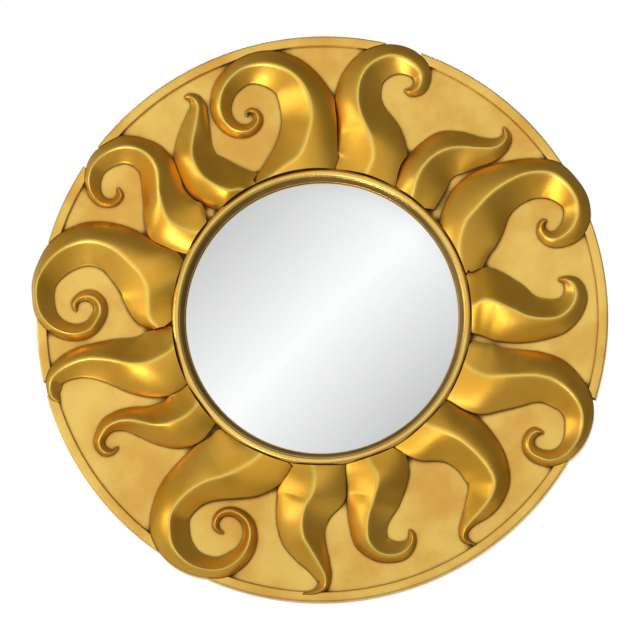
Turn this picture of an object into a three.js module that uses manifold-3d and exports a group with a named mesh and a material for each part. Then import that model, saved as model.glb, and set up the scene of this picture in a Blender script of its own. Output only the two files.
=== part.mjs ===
// Convex wall mirror in a carved and gilded sunburst frame.
// Millimetres, +Z up. The front faces -Y, the wall is the plane y = 0, and the
// origin is on the mirror's axis where that axis meets the wall.

import * as THREE from 'three';
import { mergeVertices } from 'three/addons/utils/BufferGeometryUtils.js';
import Module from 'manifold-3d';

const wasm = await Module();
wasm.setup();

// ---------------------------------------------------------------- driving sizes

const FRAME_RADIUS = 381; // a 30 inch frame
const GLASS_RADIUS = 190.5; // a 15 inch convex glass
const GLASS_SPHERE = 700; // radius of the glass's front surface
const GLASS_THICK = 3;
const SIGHT_LAP = 7.5; // the sight ring laps over the glass's edge by this
const RING_WIDTH = 17;

const WALL_GAP = 6.5; // bumpers hold the panel this far off the wall
const PANEL_THICK = 20;
const RIM_RAISE = 5; // rim above the ground
const RIM_WIDTH = 14;
const RING_RAISE = 15; // sight ring above the ground

const CREST_HEIGHT = 27; // highest crest above the ground
const WALL_FREE = 4.5; // height of a ray's side wall where it stands free
const WALL_ROOT = 9; // and at the root, where it meets its neighbour
const TIP_HEIGHT = 5.5; // least height of a crest, at its tip
const CREST_SET = [0.05, -0.13]; // a crest's shift off its line per mm of height: right, up

const RIM_SIDES = 72; // facets round the frame
const RING_SIDES = 48; // facets round the sight ring and the glass

const GAP = 0.3; // between a piece and the neighbour that it is fitted to
const SCREW_RADIUS = 1.9;
const SCREW_DEPTH = 11; // how far a screw goes into the panel

const REBATE = 10.5; // width of the step that the back board lies on
const BOARD_THICK = 4;
const PACKING_WIDTH = 8;
const BUTTON_COUNT = 6;
const BUTTON_SIZE = { length: 44, width: 15, thick: 2.4, screwAt: 12, hole: 2.4 };
const BUTTON_SCREW_OUT = 13; // each button's screw is this far outside the board
const HANGER_SHARE = [0.6877, 0.252]; // each hanger's eye, in frame radii: to the side, up
const STRAP = { width: 18, length: 46, thick: 1.5, eye: 3, bore: 2, eyeWidth: 12 };
const D_RING = { wire: 1.4, half: 13, rise: 24 };
const BUMPER = { radius: 9, inset: 43 };

// ---------------------------------------------------------------- derived planes

const PANEL_BACK = -WALL_GAP;
const GROUND = PANEL_BACK - PANEL_THICK;
const RIM_FRONT = GROUND - RIM_RAISE;
const RING_FRONT = GROUND - RING_RAISE;
const RIM_INNER = FRAME_RADIUS - RIM_WIDTH;
const SIGHT_RADIUS = GLASS_RADIUS - SIGHT_LAP;
const RING_OUTER = SIGHT_RADIUS + RING_WIDTH;
const OPENING_RADIUS = GLASS_RADIUS + 1;
const BOARD_RADIUS = OPENING_RADIUS + REBATE;
const BUTTON_SCREW_AT = BOARD_RADIUS + BUTTON_SCREW_OUT;
const HANGER_AT = HANGER_SHARE.map((share) => share * FRAME_RADIUS);
const BOARD_FRONT = PANEL_BACK - BOARD_THICK;
const GLASS_EDGE = GROUND + GAP;

// ---------------------------------------------------------------- solids

/** Makes one closed body of a geometry: merged corners, no empty faces, facing out. */
function closed(geometry) {
  const bare = geometry.clone();
  bare.deleteAttribute('normal');
  bare.deleteAttribute('uv');
  const merged = mergeVertices(bare, 1e-4);
  const index = merged.index.array;
  const position = merged.attributes.position;
  const corner = [0, 1, 2].map(() => new THREE.Vector3());
  const kept = [];
  let volume = 0;
  for (let i = 0; i < index.length; i += 3) {
    const face = [index[i], index[i + 1], index[i + 2]];
    if (new Set(face).size < 3) continue;
    face.forEach((vertex, k) => corner[k].fromBufferAttribute(position, vertex));
    volume += corner[0].dot(corner[1].clone().cross(corner[2]));
    kept.push(face);
  }
  if (volume < 0) kept.forEach((face) => face.reverse());
  merged.setIndex(kept.flat());
  return merged;
}

function toSolid(geometry) {
  const shell = closed(geometry);
  const vertProperties = new Float32Array(shell.attributes.position.array);
  const triVerts = new Uint32Array(shell.index.array);
  return new wasm.Manifold(new wasm.Mesh({ numProp: 3, vertProperties, triVerts }));
}

function fromSolid(solid) {
  const mesh = solid.getMesh();
  const geometry = new THREE.BufferGeometry();
  geometry.setAttribute('position', new THREE.BufferAttribute(mesh.vertProperties, 3));
  geometry.setIndex(Array.from(mesh.triVerts));
  return geometry;
}

const join = (first, ...more) =>
  fromSolid(more.reduce((sum, piece) => sum.add(toSolid(piece)), toSolid(first)));
const cut = (first, ...tools) =>
  fromSolid(tools.reduce((rest, tool) => rest.subtract(toSolid(tool)), toSolid(first)));
const common = (first, second) => fromSolid(toSolid(first).intersect(toSolid(second)));

/** Turns a closed profile of [radius, y] points about the mirror's axis. */
function turned(profile, segments) {
  const loop = [...profile, profile[0]].map(([radius, y]) => new THREE.Vector2(radius, y));
  return closed(new THREE.LatheGeometry(loop, segments));
}

/** Turns an open profile that starts and ends on the axis. */
function turnedSolid(profile, segments) {
  const points = profile.map(([radius, y]) => new THREE.Vector2(radius, y));
  return closed(new THREE.LatheGeometry(points, segments));
}

/** A flat plate of an outline in the wall's plane, from y = back towards the front. */
function plate(outline, back, thick, curveSegments = 8) {
  const settings = { depth: thick, bevelEnabled: false, curveSegments };
  const lying = new THREE.ExtrudeGeometry(outline, settings).rotateX(Math.PI / 2);
  return closed(lying.translate(0, back, 0));
}

const lerp = THREE.MathUtils.lerp;
const smoothstep = THREE.MathUtils.smoothstep;
const polar = (radius, degrees) => {
  const angle = THREE.MathUtils.degToRad(degrees);
  return [radius * Math.cos(angle), radius * Math.sin(angle)];
};

// ---------------------------------------------------------------- carved rays
// Each ray is carved on the flat: a crest line with the width of the left and the
// right flank at each station, [right, up, left width, right width], root to tip as
// seen from the front. A scroll then coils about its eye: each turn is
// [degrees, distance from the eye, left width, right width] at its end. `fitTo`
// names the neighbours whose outline the ray is cut to.

const RAYS = [
  {
    name: 'ray_a_scroll',
    body: [
      [-86, 180, 8, 40], [-52.5, 204, 24, 56], [-30, 221.5, 35, 57], [-18, 252.5, 37.5, 44.5],
      [-15, 279.5, 40, 37], [-24.5, 313, 39, 25.5], [-46, 334.5, 34, 21.5], [-76.5, 344, 29.5, 18],
      [-107.5, 337.5, 23, 14],
    ],
    eye: [-98, 275.5],
    coil: [
      [61, 41, 15, 13], [90, 23, 7.5, 9.5], [82, 14, 5.5, 6.5], [130, 4.6, 2.2, 2.2],
      [120, 2.6, 1.4, 1.4],
    ],
    fitTo: ['ray_b_crook'],
  },
  {
    name: 'ray_b_crook',
    body: [
      [53, 179.5, 41.5, 41.5], [61, 198.5, 41.5, 45], [68.5, 217.5, 47, 46],
      [65, 241.5, 45.5, 41.5], [52, 276.5, 33.5, 32], [48.5, 298, 31, 30], [52, 322.5, 25.5, 29.5],
      [65, 342.5, 20, 29.5], [93, 354, 15.5, 27], [118.5, 344.5, 16, 19], [131.5, 326.5, 15, 10.5],
      [128, 311, 12, 6.5], [117.5, 305, 6.5, 3.5], [109.5, 307, 1.2, 1.2],
    ],
    fitTo: ['ray_c_flame'],
  },
  {
    name: 'ray_c_flame',
    body: [
      [118.5, 150, 21.5, 32], [122.5, 171.5, 24, 39], [129.5, 194.5, 25.5, 43],
      [145.5, 214.5, 24, 40], [165.5, 225.5, 25.5, 37.5], [187, 230, 20, 36],
      [208.5, 229, 14, 27.5], [229.5, 229.5, 10.5, 19], [240.5, 235, 7.5, 12.5],
      [246, 243, 4.5, 7.5], [245, 251, 2, 2.5], [242, 256, 1, 1],
    ],
    fitTo: ['ray_d_scroll'],
  },
  {
    name: 'ray_d_scroll',
    body: [
      [187, 58.5, 13.5, 26], [184.5, 78, 20, 37.5], [183.5, 99, 27, 47], [191.5, 128.5, 34, 51.5],
      [207, 147.5, 40, 47.5], [224.5, 165, 37.5, 39], [244.5, 179.5, 29.5, 35.5],
      [267, 190.5, 22, 35],
      [288.5, 194.5, 18, 35], [310, 191, 17, 35], [328.5, 175.5, 15, 29.5], [339.5, 153, 17, 20],
      [339, 134, 19.5, 17], [331.5, 119, 20, 14], [318, 107.5, 15.5, 10],
    ],
    eye: [303.5, 122],
    coil: [[-80, 13.5, 8.5, 6], [-95, 9.5, 3.5, 2.5], [-25, 7.5, 1.2, 1.2]],
    fitTo: ['ray_e_hook'],
  },
  {
    name: 'ray_e_hook',
    body: [
      [180, 24, 41, 33], [199, 16, 43, 37.5], [216.5, 23, 43, 48.5], [254, 10, 35, 47],
      [275, 1, 27.5, 38], [298, -2, 25, 29], [316.5, 1, 23.5, 23.5], [331.5, 14, 17.5, 19],
      [337, 29.5, 15, 16], [333, 43, 11.5, 11.5], [323.5, 49.5, 4.5, 4.5], [314, 49, 1, 1],
    ],
    fitTo: ['ray_f_scroll'],
  },
  {
    name: 'ray_f_scroll',
    body: [
      [181.5, -54.5, 29.5, 53.5], [197.5, -69.5, 37.5, 53], [219, -78.5, 41.5, 54],
      [240.5, -79, 36, 47], [264.5, -78.5, 33, 42.5], [288.5, -80.5, 32, 36],
      [308.5, -86.5, 29.5, 33], [327.5, -100, 24, 30], [339.5, -116.5, 21.5, 25],
      [345.5, -134, 16, 23.5], [344, -154.5, 12, 22], [334, -174, 10.5, 16], [318, -188, 10, 12],
      [302, -192, 10, 11.5],
    ],
    eye: [291.5, -169],
    coil: [[-35, 19, 10, 9.5], [-140, 16, 6.5, 6], [-45, 12.5, 1.2, 1.2]],
    fitTo: ['ray_g_flame'],
  },
  {
    name: 'ray_g_flame',
    body: [
      [109.5, -133, 24, 45.5], [130.5, -141, 29.5, 48.5], [149.5, -147.5, 39, 48.5],
      [168, -155, 36, 43], [187, -167, 37.5, 36], [205.5, -184, 33.5, 33],
      [220.5, -202, 27.5, 35], [228.5, -221.5, 21, 34.5], [223, -242.5, 17.5, 31],
      [211, -260, 13.5, 24], [199, -273, 7.5, 15], [190, -285.5, 4.5, 8], [188, -296, 5, 4.5],
      [195, -302.5, 3, 3], [203, -306.5, 1, 1],
    ],
    fitTo: [],
  },
  {
    name: 'ray_h_hook',
    body: [
      [56.5, -172, 40, 26], [61, -189.5, 48, 32], [73, -212.5, 43, 41.5],
      [68.5, -243.5, 35.5, 37], [63, -262, 30, 30], [60.5, -281, 25.5, 23.5], [63, -300, 25, 19],
      [74.5, -314, 21.5, 12.5], [92, -318.5, 20, 10], [108, -314, 15, 10], [118.5, -302, 6, 6.5],
      [119.5, -290.5, 3.5, 4], [116, -284.5, 1, 1],
    ],
    fitTo: ['ray_g_flame'],
  },
  {
    name: 'ray_i_flame',
    body: [
      [-17.5, -181.5, 38, 30], [-11, -207, 45, 43], [-13, -234, 45, 45.5],
      [-22.5, -252.5, 38, 39.5], [-26.5, -273, 34, 34], [-24, -293, 29, 30],
      [-14.5, -312.5, 21.5, 24], [-4, -331.5, 15, 16], [4.5, -348.5, 8, 12], [3, -360, 5.5, 8],
      [-8.5, -367, 3.5, 3.5], [-24.5, -370, 1, 1],
    ],
    fitTo: ['ray_h_hook', 'ray_j_scroll'],
  },
  {
    name: 'ray_j_scroll',
    body: [
      [-72.5, -170.5, 45.5, 32], [-86, -185.5, 48.5, 33], [-106, -199.5, 44.5, 58],
      [-129, -210.5, 34, 54.5], [-150.5, -217, 29, 48.5], [-171.5, -228, 25.5, 39],
      [-189, -243.5, 25, 33], [-200.5, -262, 25, 27], [-202, -283.5, 25.5, 27],
      [-198.5, -302.5, 25, 21.5], [-188.5, -317.5, 23, 17], [-173, -329.5, 19.5, 13.5],
      [-153, -335.5, 17, 12.5], [-134, -335, 15.5, 13.5], [-115.5, -326, 15, 12.5],
      [-102, -310, 10.5, 12], [-96, -290.5, 8.5, 9.5],
    ],
    eye: [-126, -279.5],
    coil: [[68, 23, 6.5, 6.5], [70, 20, 5.5, 4.5], [62, 16, 4, 3.5], [60, 9.5, 1.2, 1.2]],
    fitTo: ['ray_k_scroll'],
  },
  {
    name: 'ray_k_scroll',
    body: [
      [-159.5, -100.5, 35, 29], [-169.5, -118, 36, 37], [-182.5, -130, 41.5, 35],
      [-201, -138, 37.5, 30], [-220, -141, 27.5, 27], [-238.5, -139, 20, 21.5],
      [-256, -136, 15.5, 17.5], [-272, -137.5, 12, 14], [-285.5, -144.5, 8.5, 12],
      [-293.5, -155.5, 6.5, 8.5],
    ],
    eye: [-281.5, -166.5],
    coil: [[100, 13.5, 5.5, 6], [100, 10.5, 1.2, 1.2]],
    fitTo: ['ray_l_flame'],
  },
  {
    name: 'ray_l_flame',
    body: [
      [-187.5, -21, 45.5, 19], [-201, -40, 48.5, 35], [-216, -50.5, 55, 37.5],
      [-233, -57.5, 49, 37], [-253.5, -58.5, 40.5, 33.5], [-274.5, -55, 33.5, 29.5],
      [-295, -52.5, 29, 23], [-313.5, -52.5, 26, 18], [-332, -57.5, 22, 16],
      [-349.5, -67.5, 17.5, 12.5], [-360.5, -79.5, 15, 8], [-363, -94, 15, 4.5],
      [-358.5, -105, 10, 4], [-349.5, -110, 1.2, 1.2],
    ],
    fitTo: [],
  },
  {
    name: 'ray_m_scroll',
    body: [
      [-216, -15.5, 3, 28], [-230, 2, 17.5, 36], [-232, 26, 32, 38], [-234, 43.5, 35, 57],
      [-242.5, 62, 36, 56], [-257.5, 78, 34, 42], [-274.5, 93, 32, 35.5], [-293.5, 103, 33, 29.5],
      [-313.5, 106.5, 33.5, 25], [-335, 101.5, 33, 21], [-355, 89.5, 31, 17], [-371, 72, 28, 10.5],
      [-380.5, 51.5, 25, 7.5], [-381.5, 30, 23, 6], [-376.5, 10, 21.5, 7.5], [-364.5, -5.5, 17, 8],
      [-347, -15, 13.5, 9.5], [-328, -17.5, 11.5, 10.5],
    ],
    eye: [-316, 14],
    coil: [[70, 20, 8.5, 10.5], [110, 18, 6, 9.5], [85, 16.5, 4, 4.5], [40, 13, 1.2, 1.2]],
    fitTo: ['ray_l_flame', 'ray_n_scroll'],
  },
  {
    name: 'ray_n_scroll',
    body: [
      [-153, 119, 37.5, 26], [-170.5, 117, 32, 39], [-204, 132, 35, 43], [-218, 169, 22, 33.5],
      [-220, 188, 21.5, 31], [-223, 205.5, 22, 26], [-232, 220, 23.5, 21], [-246.5, 230, 23, 16],
      [-265.5, 233, 22, 15.5], [-283.5, 228, 21, 12], [-299, 217.5, 19.5, 10.5],
      [-309, 203.5, 17.5, 7.5], [-312, 186.5, 16, 5.5], [-308, 171.5, 12.5, 5.5],
    ],
    eye: [-281.5, 173],
    coil: [[70, 17.5, 6, 4], [83, 13, 4.5, 4], [60, 8.5, 1.2, 1.2]],
    fitTo: ['ray_o_flame'],
  },
  {
    name: 'ray_o_flame',
    body: [
      [-88.5, 166, 21.5, 29], [-106, 174.5, 29.5, 25.5], [-126, 173.5, 29.5, 35],
      [-157, 190.5, 30, 35.5], [-167.5, 205.5, 25.5, 28.5], [-173.5, 221.5, 25, 29.5],
      [-174, 239, 21, 25.5], [-171.5, 258, 17, 21.5], [-168.5, 276.5, 12, 15.5],
      [-167.5, 289, 8, 11.5], [-171.5, 297, 6, 8], [-179, 301.5, 3.5, 3.5], [-185, 299.5, 1, 1],
    ],
    fitTo: ['ray_a_scroll'],
  },
];

// The stations are drawn for this ring and rim, and stretch with the real ones.
const PATTERN = { ring: 200, rim: 367 };

// Where a scroll crosses the rim the disc follows the scroll: [from, to] degrees
// counter-clockwise from the right.
const RIM_BREAKS = [
  [69.5, 77], [21, 32], [-29.5, -17], [235.5, 246.5], [192.5, 195.5], [164, 179], [142, 147],
];

const RIB_PITCH = 3; // spacing of a ray's ribs, in square roots of mm along the crest
const COIL_STEP = 30; // degrees between a coil's stations

// Height of the crest along a ray: [part of its length, part of CREST_HEIGHT].
const CREST_RISE = [
  [0, 0.5], [0.07, 0.66], [0.16, 0.95], [0.28, 1], [0.5, 0.8], [0.75, 0.55], [1, 0.3],
];

// Places on a flank, from its edge (0) to the crest (1).
const FLANK_STEPS = [0, 0.42, 0.78];

/** Height of a carved flank, from its wall (u = 0) to the crest (u = 1). */
function flankHeight(u, wall, crest, belly) {
  const cove = u ** 1.75;
  const round = 0.5 * u + 0.5 * (1 - (1 - u) ** 2);
  return wall + (crest - wall) * lerp(cove, round, belly);
}

function riseAt(part) {
  const next = Math.max(1, CREST_RISE.findIndex(([at]) => at >= part));
  const [[from, low], [to, high]] = [CREST_RISE[next - 1], CREST_RISE[next]];
  return lerp(low, high, smoothstep(part, from, to));
}

/** All stations of a ray: its body and then its coil, which closes in at an even rate. */
function stationsOf(ray) {
  const stations = ray.body.map((station) => [...station]);
  if (!ray.eye) return stations;
  const [eyeX, eyeZ] = ray.eye;
  const [lastX, lastZ] = stations.at(-1);
  let radius = Math.hypot(lastX - eyeX, lastZ - eyeZ);
  let angle = THREE.MathUtils.radToDeg(Math.atan2(lastZ - eyeZ, lastX - eyeX));
  let [left, right] = stations.at(-1).slice(2);
  for (const [sweep, endRadius, endLeft, endRight] of ray.coil) {
    const steps = Math.max(1, Math.round(Math.abs(sweep) / COIL_STEP));
    for (let step = 1; step <= steps; step += 1) {
      const part = step / steps;
      const [dx, dz] = polar(radius * (endRadius / radius) ** part, angle + sweep * part);
      const widths = [left * (endLeft / left) ** part, right * (endRight / right) ** part];
      stations.push([eyeX + dx, eyeZ + dz, ...widths]);
    }
    [radius, left, right] = [endRadius, endLeft, endRight];
    angle += sweep;
  }
  return stations;
}

/** Moves a point of the pattern in or out so that ring and rim fall on the real ones. */
function stretched(x, z) {
  const radius = Math.hypot(x, z);
  const scale = (RIM_INNER - RING_OUTER) / (PATTERN.rim - PATTERN.ring);
  const factor = (RING_OUTER + (radius - PATTERN.ring) * scale) / radius;
  return [x * factor, z * factor];
}

/** The control points of a ray's three lines: crest, left edge and right edge. */
function controlLines(ray, widen) {
  const stations = stationsOf(ray);
  const last = stations.length - 1;
  return stations.map(([x, z, left, right], i) => {
    const before = stations[Math.max(0, i - 1)];
    const after = stations[Math.min(last, i + 1)];
    const length = Math.hypot(after[0] - before[0], after[1] - before[1]);
    const [tx, tz] = [(after[0] - before[0]) / length, (after[1] - before[1]) / length];
    const leftEdge = stretched(x - tz * (left + widen), z + tx * (left + widen));
    const rightEdge = stretched(x + tz * (right + widen), z - tx * (right + widen));
    return [...stretched(x, z), ...leftEdge, ...rightEdge];
  });
}

const mix = (a, b, from, to, at) =>
  a.map((value, k) => ((to - at) * value + (at - from) * b[k]) / (to - from));

/** A point of a centripetal Catmull-Rom curve through p1 and p2, at knot `at`. */
function curvePoint([p0, p1, p2, p3], [t0, t1, t2, t3], at) {
  const a1 = mix(p0, p1, t0, t1, at);
  const a2 = mix(p1, p2, t1, t2, at);
  const a3 = mix(p2, p3, t2, t3, at);
  return mix(mix(a1, a2, t0, t2, at), mix(a2, a3, t1, t3, at), t1, t2, at);
}

/** Ribs of a ray: points of its three lines, and how far along the crest each lies. */
function ribsOf(ray, widen = 0) {
  const lines = controlLines(ray, widen);
  const beyond = (end, inner) => end.map((value, k) => 2 * value - inner[k]);
  const points = [beyond(lines[0], lines[1]), ...lines, beyond(lines.at(-1), lines.at(-2))];
  const knots = [0];
  for (let i = 1; i < points.length; i += 1) {
    const step = Math.hypot(points[i][0] - points[i - 1][0], points[i][1] - points[i - 1][1]);
    knots.push(knots[i - 1] + Math.sqrt(step));
  }
  const [start, end] = [knots[1], knots.at(-2)];
  const count = Math.round((end - start) / RIB_PITCH);
  const ribs = [];
  let along = 0;
  for (let i = 0, span = 1; i <= count; i += 1) {
    const at = lerp(start, end, i / count);
    while (span < knots.length - 3 && knots[span + 1] < at) span += 1;
    const rib = curvePoint(points.slice(span - 1, span + 3), knots.slice(span - 1, span + 3), at);
    if (i > 0) along += Math.hypot(rib[0] - ribs[i - 1].rib[0], rib[1] - ribs[i - 1].rib[1]);
    ribs.push({ rib, along });
  }
  return ribs.map(({ rib, along: length }) => ({
    crest: rib.slice(0, 2),
    left: rib.slice(2, 4),
    right: rib.slice(4, 6),
    part: length / along,
  }));
}

/** Joins equal closed sections into one body, with both ends closed by fans. */
function lofted(sections) {
  const size = sections[0].length;
  const faces = [];
  for (let s = 0; s + 1 < sections.length; s += 1) {
    for (let k = 0; k < size; k += 1) {
      const next = (k + 1) % size;
      const [a, b] = [s * size + k, s * size + next];
      const [c, d] = [a + size, b + size];
      faces.push([a, b, d], [a, d, c]);
    }
  }
  const tail = (sections.length - 1) * size;
  for (let k = 1; k + 1 < size; k += 1) {
    faces.push([0, k + 1, k], [tail, tail + k, tail + k + 1]);
  }
  const geometry = new THREE.BufferGeometry();
  geometry.setAttribute('position', new THREE.Float32BufferAttribute(sections.flat(2), 3));
  geometry.setIndex(faces.flat());
  return closed(geometry);
}

/** One rib's section: wall, left flank, crest, right flank, wall, and the flat back. */
function carvedSection({ crest, left, right, part }) {
  const widths = [left, right].map(([x, z]) => Math.hypot(x - crest[0], z - crest[1]));
  const narrow = Math.min(...widths);
  const room = TIP_HEIGHT + 0.62 * (widths[0] + widths[1]);
  const height = Math.min(CREST_HEIGHT * riseAt(part), room);
  const wall = Math.min(lerp(WALL_ROOT, WALL_FREE, smoothstep(part, 0.1, 0.35)), 0.7 * height);
  const belly = 1 - smoothstep(part, 0.08, 0.42);
  const set = Math.min(height, (0.45 * narrow) / Math.hypot(...CREST_SET));
  const top = [crest[0] + CREST_SET[0] * set, crest[1] + CREST_SET[1] * set];
  const at = (edge, u) => {
    const y = GROUND - flankHeight(u, wall, height, belly);
    return [lerp(edge[0], top[0], u), y, lerp(edge[1], top[1], u)];
  };
  return [
    [left[0], GROUND, left[1]],
    ...FLANK_STEPS.map((u) => at(left, u)),
    at(left, 1),
    ...FLANK_STEPS.toReversed().map((u) => at(right, u)),
    [right[0], GROUND, right[1]],
  ];
}

const carvedRay = (ray) => lofted(ribsOf(ray).map(carvedSection));

/** An upright prism over a ray's outline, widened all round, from y = back to y = front. */
function outlinePrism(ray, widen, back, front) {
  const ribs = ribsOf(ray, widen);
  const past = (end, inner) => {
    const moved = (side) => end[side].map((value, k) => value + (widen * (value - inner[side][k])) / 4);
    return { left: moved('left'), right: moved('right') };
  };
  const whole = [past(ribs[0], ribs[1]), ...ribs, past(ribs.at(-1), ribs.at(-2))];
  return lofted(
    (widen > 0 ? whole : ribs).map(({ left, right }) => [
      [left[0], back, left[1]],
      [left[0], front, left[1]],
      [right[0], front, right[1]],
      [right[0], back, right[1]],
    ]),
  );
}

const rayNamed = (name) => RAYS.find((ray) => ray.name === name);
const OVER_ALL = GROUND - 60; // a plane in front of everything carved
const UNDER_RAYS = GROUND + 1;

/** The finished ray: carved, fitted round the sight ring and to its neighbours. */
function makeRay(ray) {
  const fitRadius = RING_OUTER + GAP;
  const ringTool = turnedSolid(
    [[0, UNDER_RAYS], [fitRadius, UNDER_RAYS], [fitRadius, OVER_ALL], [0, OVER_ALL]],
    RING_SIDES,
  );
  const neighbours = ray.fitTo.map((name) => outlinePrism(rayNamed(name), GAP, UNDER_RAYS, OVER_ALL));
  return cut(carvedRay(ray), ringTool, ...neighbours);
}

// ---------------------------------------------------------------- panel and ring

const screwHole = (x, z) => {
  const radius = SCREW_RADIUS + GAP;
  const end = PANEL_BACK - SCREW_DEPTH - 1;
  const profile = [[0, PANEL_BACK + 1], [radius, PANEL_BACK + 1], [radius, end], [0, end]];
  return turnedSolid(profile, 10).translate(x, 0, z);
};

/** A block over the rim between two angles, for the stretch where a scroll is the edge. */
function rimBlock([from, to], back, front) {
  const [inner, outer] = [RIM_INNER - 1, FRAME_RADIUS + 20];
  const shape = new THREE.Shape();
  shape.absarc(0, 0, outer, THREE.MathUtils.degToRad(from), THREE.MathUtils.degToRad(to), false);
  shape.absarc(0, 0, inner, THREE.MathUtils.degToRad(to), THREE.MathUtils.degToRad(from), true);
  return plate(shape, back, back - front, 6);
}

function makePanel(screwPlaces) {
  const rim = [
    [OPENING_RADIUS, BOARD_FRONT],
    [OPENING_RADIUS, GROUND],
    [RIM_INNER, GROUND],
    [RIM_INNER + 3, RIM_FRONT],
    [FRAME_RADIUS - 3, RIM_FRONT],
    [FRAME_RADIUS, RIM_FRONT + 2.5],
    [FRAME_RADIUS, PANEL_BACK - 2],
    [FRAME_RADIUS - 2, PANEL_BACK],
    [BOARD_RADIUS + 1, PANEL_BACK],
    [BOARD_RADIUS + 1, BOARD_FRONT],
  ];
  const disc = cut(turned(rim, RIM_SIDES), ...RIM_BREAKS.map((span) => rimBlock(span, 0, OVER_ALL)));
  const [inner, outer] = [RIM_INNER - 2, FRAME_RADIUS + 20];
  const band = turned([[inner, 0], [inner, OVER_ALL], [outer, OVER_ALL], [outer, 0]], RIM_SIDES);
  const crossing = RAYS.filter((ray) => ribsOf(ray).some(({ left, right }) => {
    return Math.max(Math.hypot(...left), Math.hypot(...right)) > RIM_INNER - 4;
  }));
  const trimmed = cut(disc, ...crossing.map((ray) => outlinePrism(ray, GAP, GROUND, OVER_ALL)));
  const lips = crossing.map((ray) => common(outlinePrism(ray, 0, PANEL_BACK, GROUND), band));
  return cut(join(trimmed, ...lips), ...screwPlaces.map(([x, z]) => screwHole(x, z)));
}

/** Turned sight ring: outer bead, quirk, wide rounded band and a bevel down to the glass. */
function makeSightRing() {
  const profile = [
    [OPENING_RADIUS, GROUND],
    [RING_OUTER, GROUND],
    [RING_OUTER, GROUND - 8],
    [RING_OUTER - 1.2, GROUND - 10],
    [RING_OUTER - 3.6, GROUND - 9.4],
    [RING_OUTER - 5, RING_FRONT + 1.8],
    [RING_OUTER - 8, RING_FRONT],
    [SIGHT_RADIUS + 5.6, RING_FRONT + 0.8],
    [SIGHT_RADIUS, GROUND - 5],
    [SIGHT_RADIUS, GROUND - 3],
  ];
  return turned(profile, RING_SIDES);
}

// ---------------------------------------------------------------- glass and back

const glassFront = (radius) => {
  const drop = (r) => GLASS_SPHERE - Math.sqrt(GLASS_SPHERE ** 2 - r ** 2);
  return GLASS_EDGE - drop(GLASS_RADIUS) + drop(radius);
};

function makeGlass() {
  const radii = [0, 0.35, 0.7, 1].map((part) => part * GLASS_RADIUS);
  const front = radii.map((radius) => [radius, glassFront(radius)]);
  const back = radii.toReversed().map((radius) => [radius, glassFront(radius) + GLASS_THICK]);
  return turnedSolid([...front, ...back], RING_SIDES);
}

function makePackingRing() {
  const front = GLASS_EDGE + GLASS_THICK + GAP;
  const inner = GLASS_RADIUS - PACKING_WIDTH;
  return turned(
    [[inner, front], [GLASS_RADIUS, front], [GLASS_RADIUS, BOARD_FRONT], [inner, BOARD_FRONT]],
    RING_SIDES / 2,
  );
}

const makeBackBoard = () =>
  turnedSolid(
    [[0, BOARD_FRONT], [BOARD_RADIUS, BOARD_FRONT], [BOARD_RADIUS, PANEL_BACK], [0, PANEL_BACK]],
    RING_SIDES,
  );

function makeTurnButton() {
  const { length, width, thick, screwAt, hole } = BUTTON_SIZE;
  const half = width / 2;
  const shape = new THREE.Shape();
  shape.absarc(length - screwAt - half, 0, half, -Math.PI / 2, Math.PI / 2, false);
  shape.absarc(half - screwAt, 0, half, Math.PI / 2, (3 * Math.PI) / 2, false);
  shape.holes.push(new THREE.Path().absarc(0, 0, hole, 0, 2 * Math.PI, true));
  return plate(shape, PANEL_BACK + GAP + thick, thick, 5);
}

/** A pan-head screw that holds something `under` mm thick to the panel's back. */
function makeScrew(under) {
  const seat = PANEL_BACK + under;
  const head = SCREW_RADIUS * 2;
  return turnedSolid(
    [[0, seat + 1.5], [head * 0.6, seat + 1.5], [head, seat + 0.5], [head, seat], [SCREW_RADIUS, seat],
      [SCREW_RADIUS, PANEL_BACK - SCREW_DEPTH + 3], [0, PANEL_BACK - SCREW_DEPTH]],
    10,
  );
}

const EYE_DEPTH = PANEL_BACK + STRAP.eye + 0.2; // the eye's centre, clear of the wall

/** A hanger strap: a screwed plate with a rolled eye at its upper end. */
function makeStrap() {
  const { width, length, thick, eye, bore, eyeWidth } = STRAP;
  const shape = new THREE.Shape();
  shape.moveTo(-width / 2, -length);
  shape.lineTo(width / 2, -length);
  shape.lineTo(width / 2, -7);
  shape.lineTo(eyeWidth / 2, -3);
  shape.lineTo(eyeWidth / 2, 0);
  shape.lineTo(-eyeWidth / 2, 0);
  shape.lineTo(-eyeWidth / 2, -3);
  shape.lineTo(-width / 2, -7);
  shape.closePath();
  const strip = plate(shape, PANEL_BACK + thick, thick);
  const roll = (radius, long) => {
    const upright = new THREE.CylinderGeometry(radius, radius, long, 16);
    return closed(upright.rotateZ(Math.PI / 2).translate(0, EYE_DEPTH, 0));
  };
  const holes = strapScrewDrops().map((drop) => {
    const radius = SCREW_RADIUS + GAP;
    return closed(new THREE.CylinderGeometry(radius, radius, 12, 10).translate(0, PANEL_BACK, -drop));
  });
  return cut(join(strip, roll(eye, eyeWidth)), roll(bore, eyeWidth + 4), ...holes);
}

/** How far below the eye each strap screw is. */
function strapScrewDrops() {
  return [14, 36];
}

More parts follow.
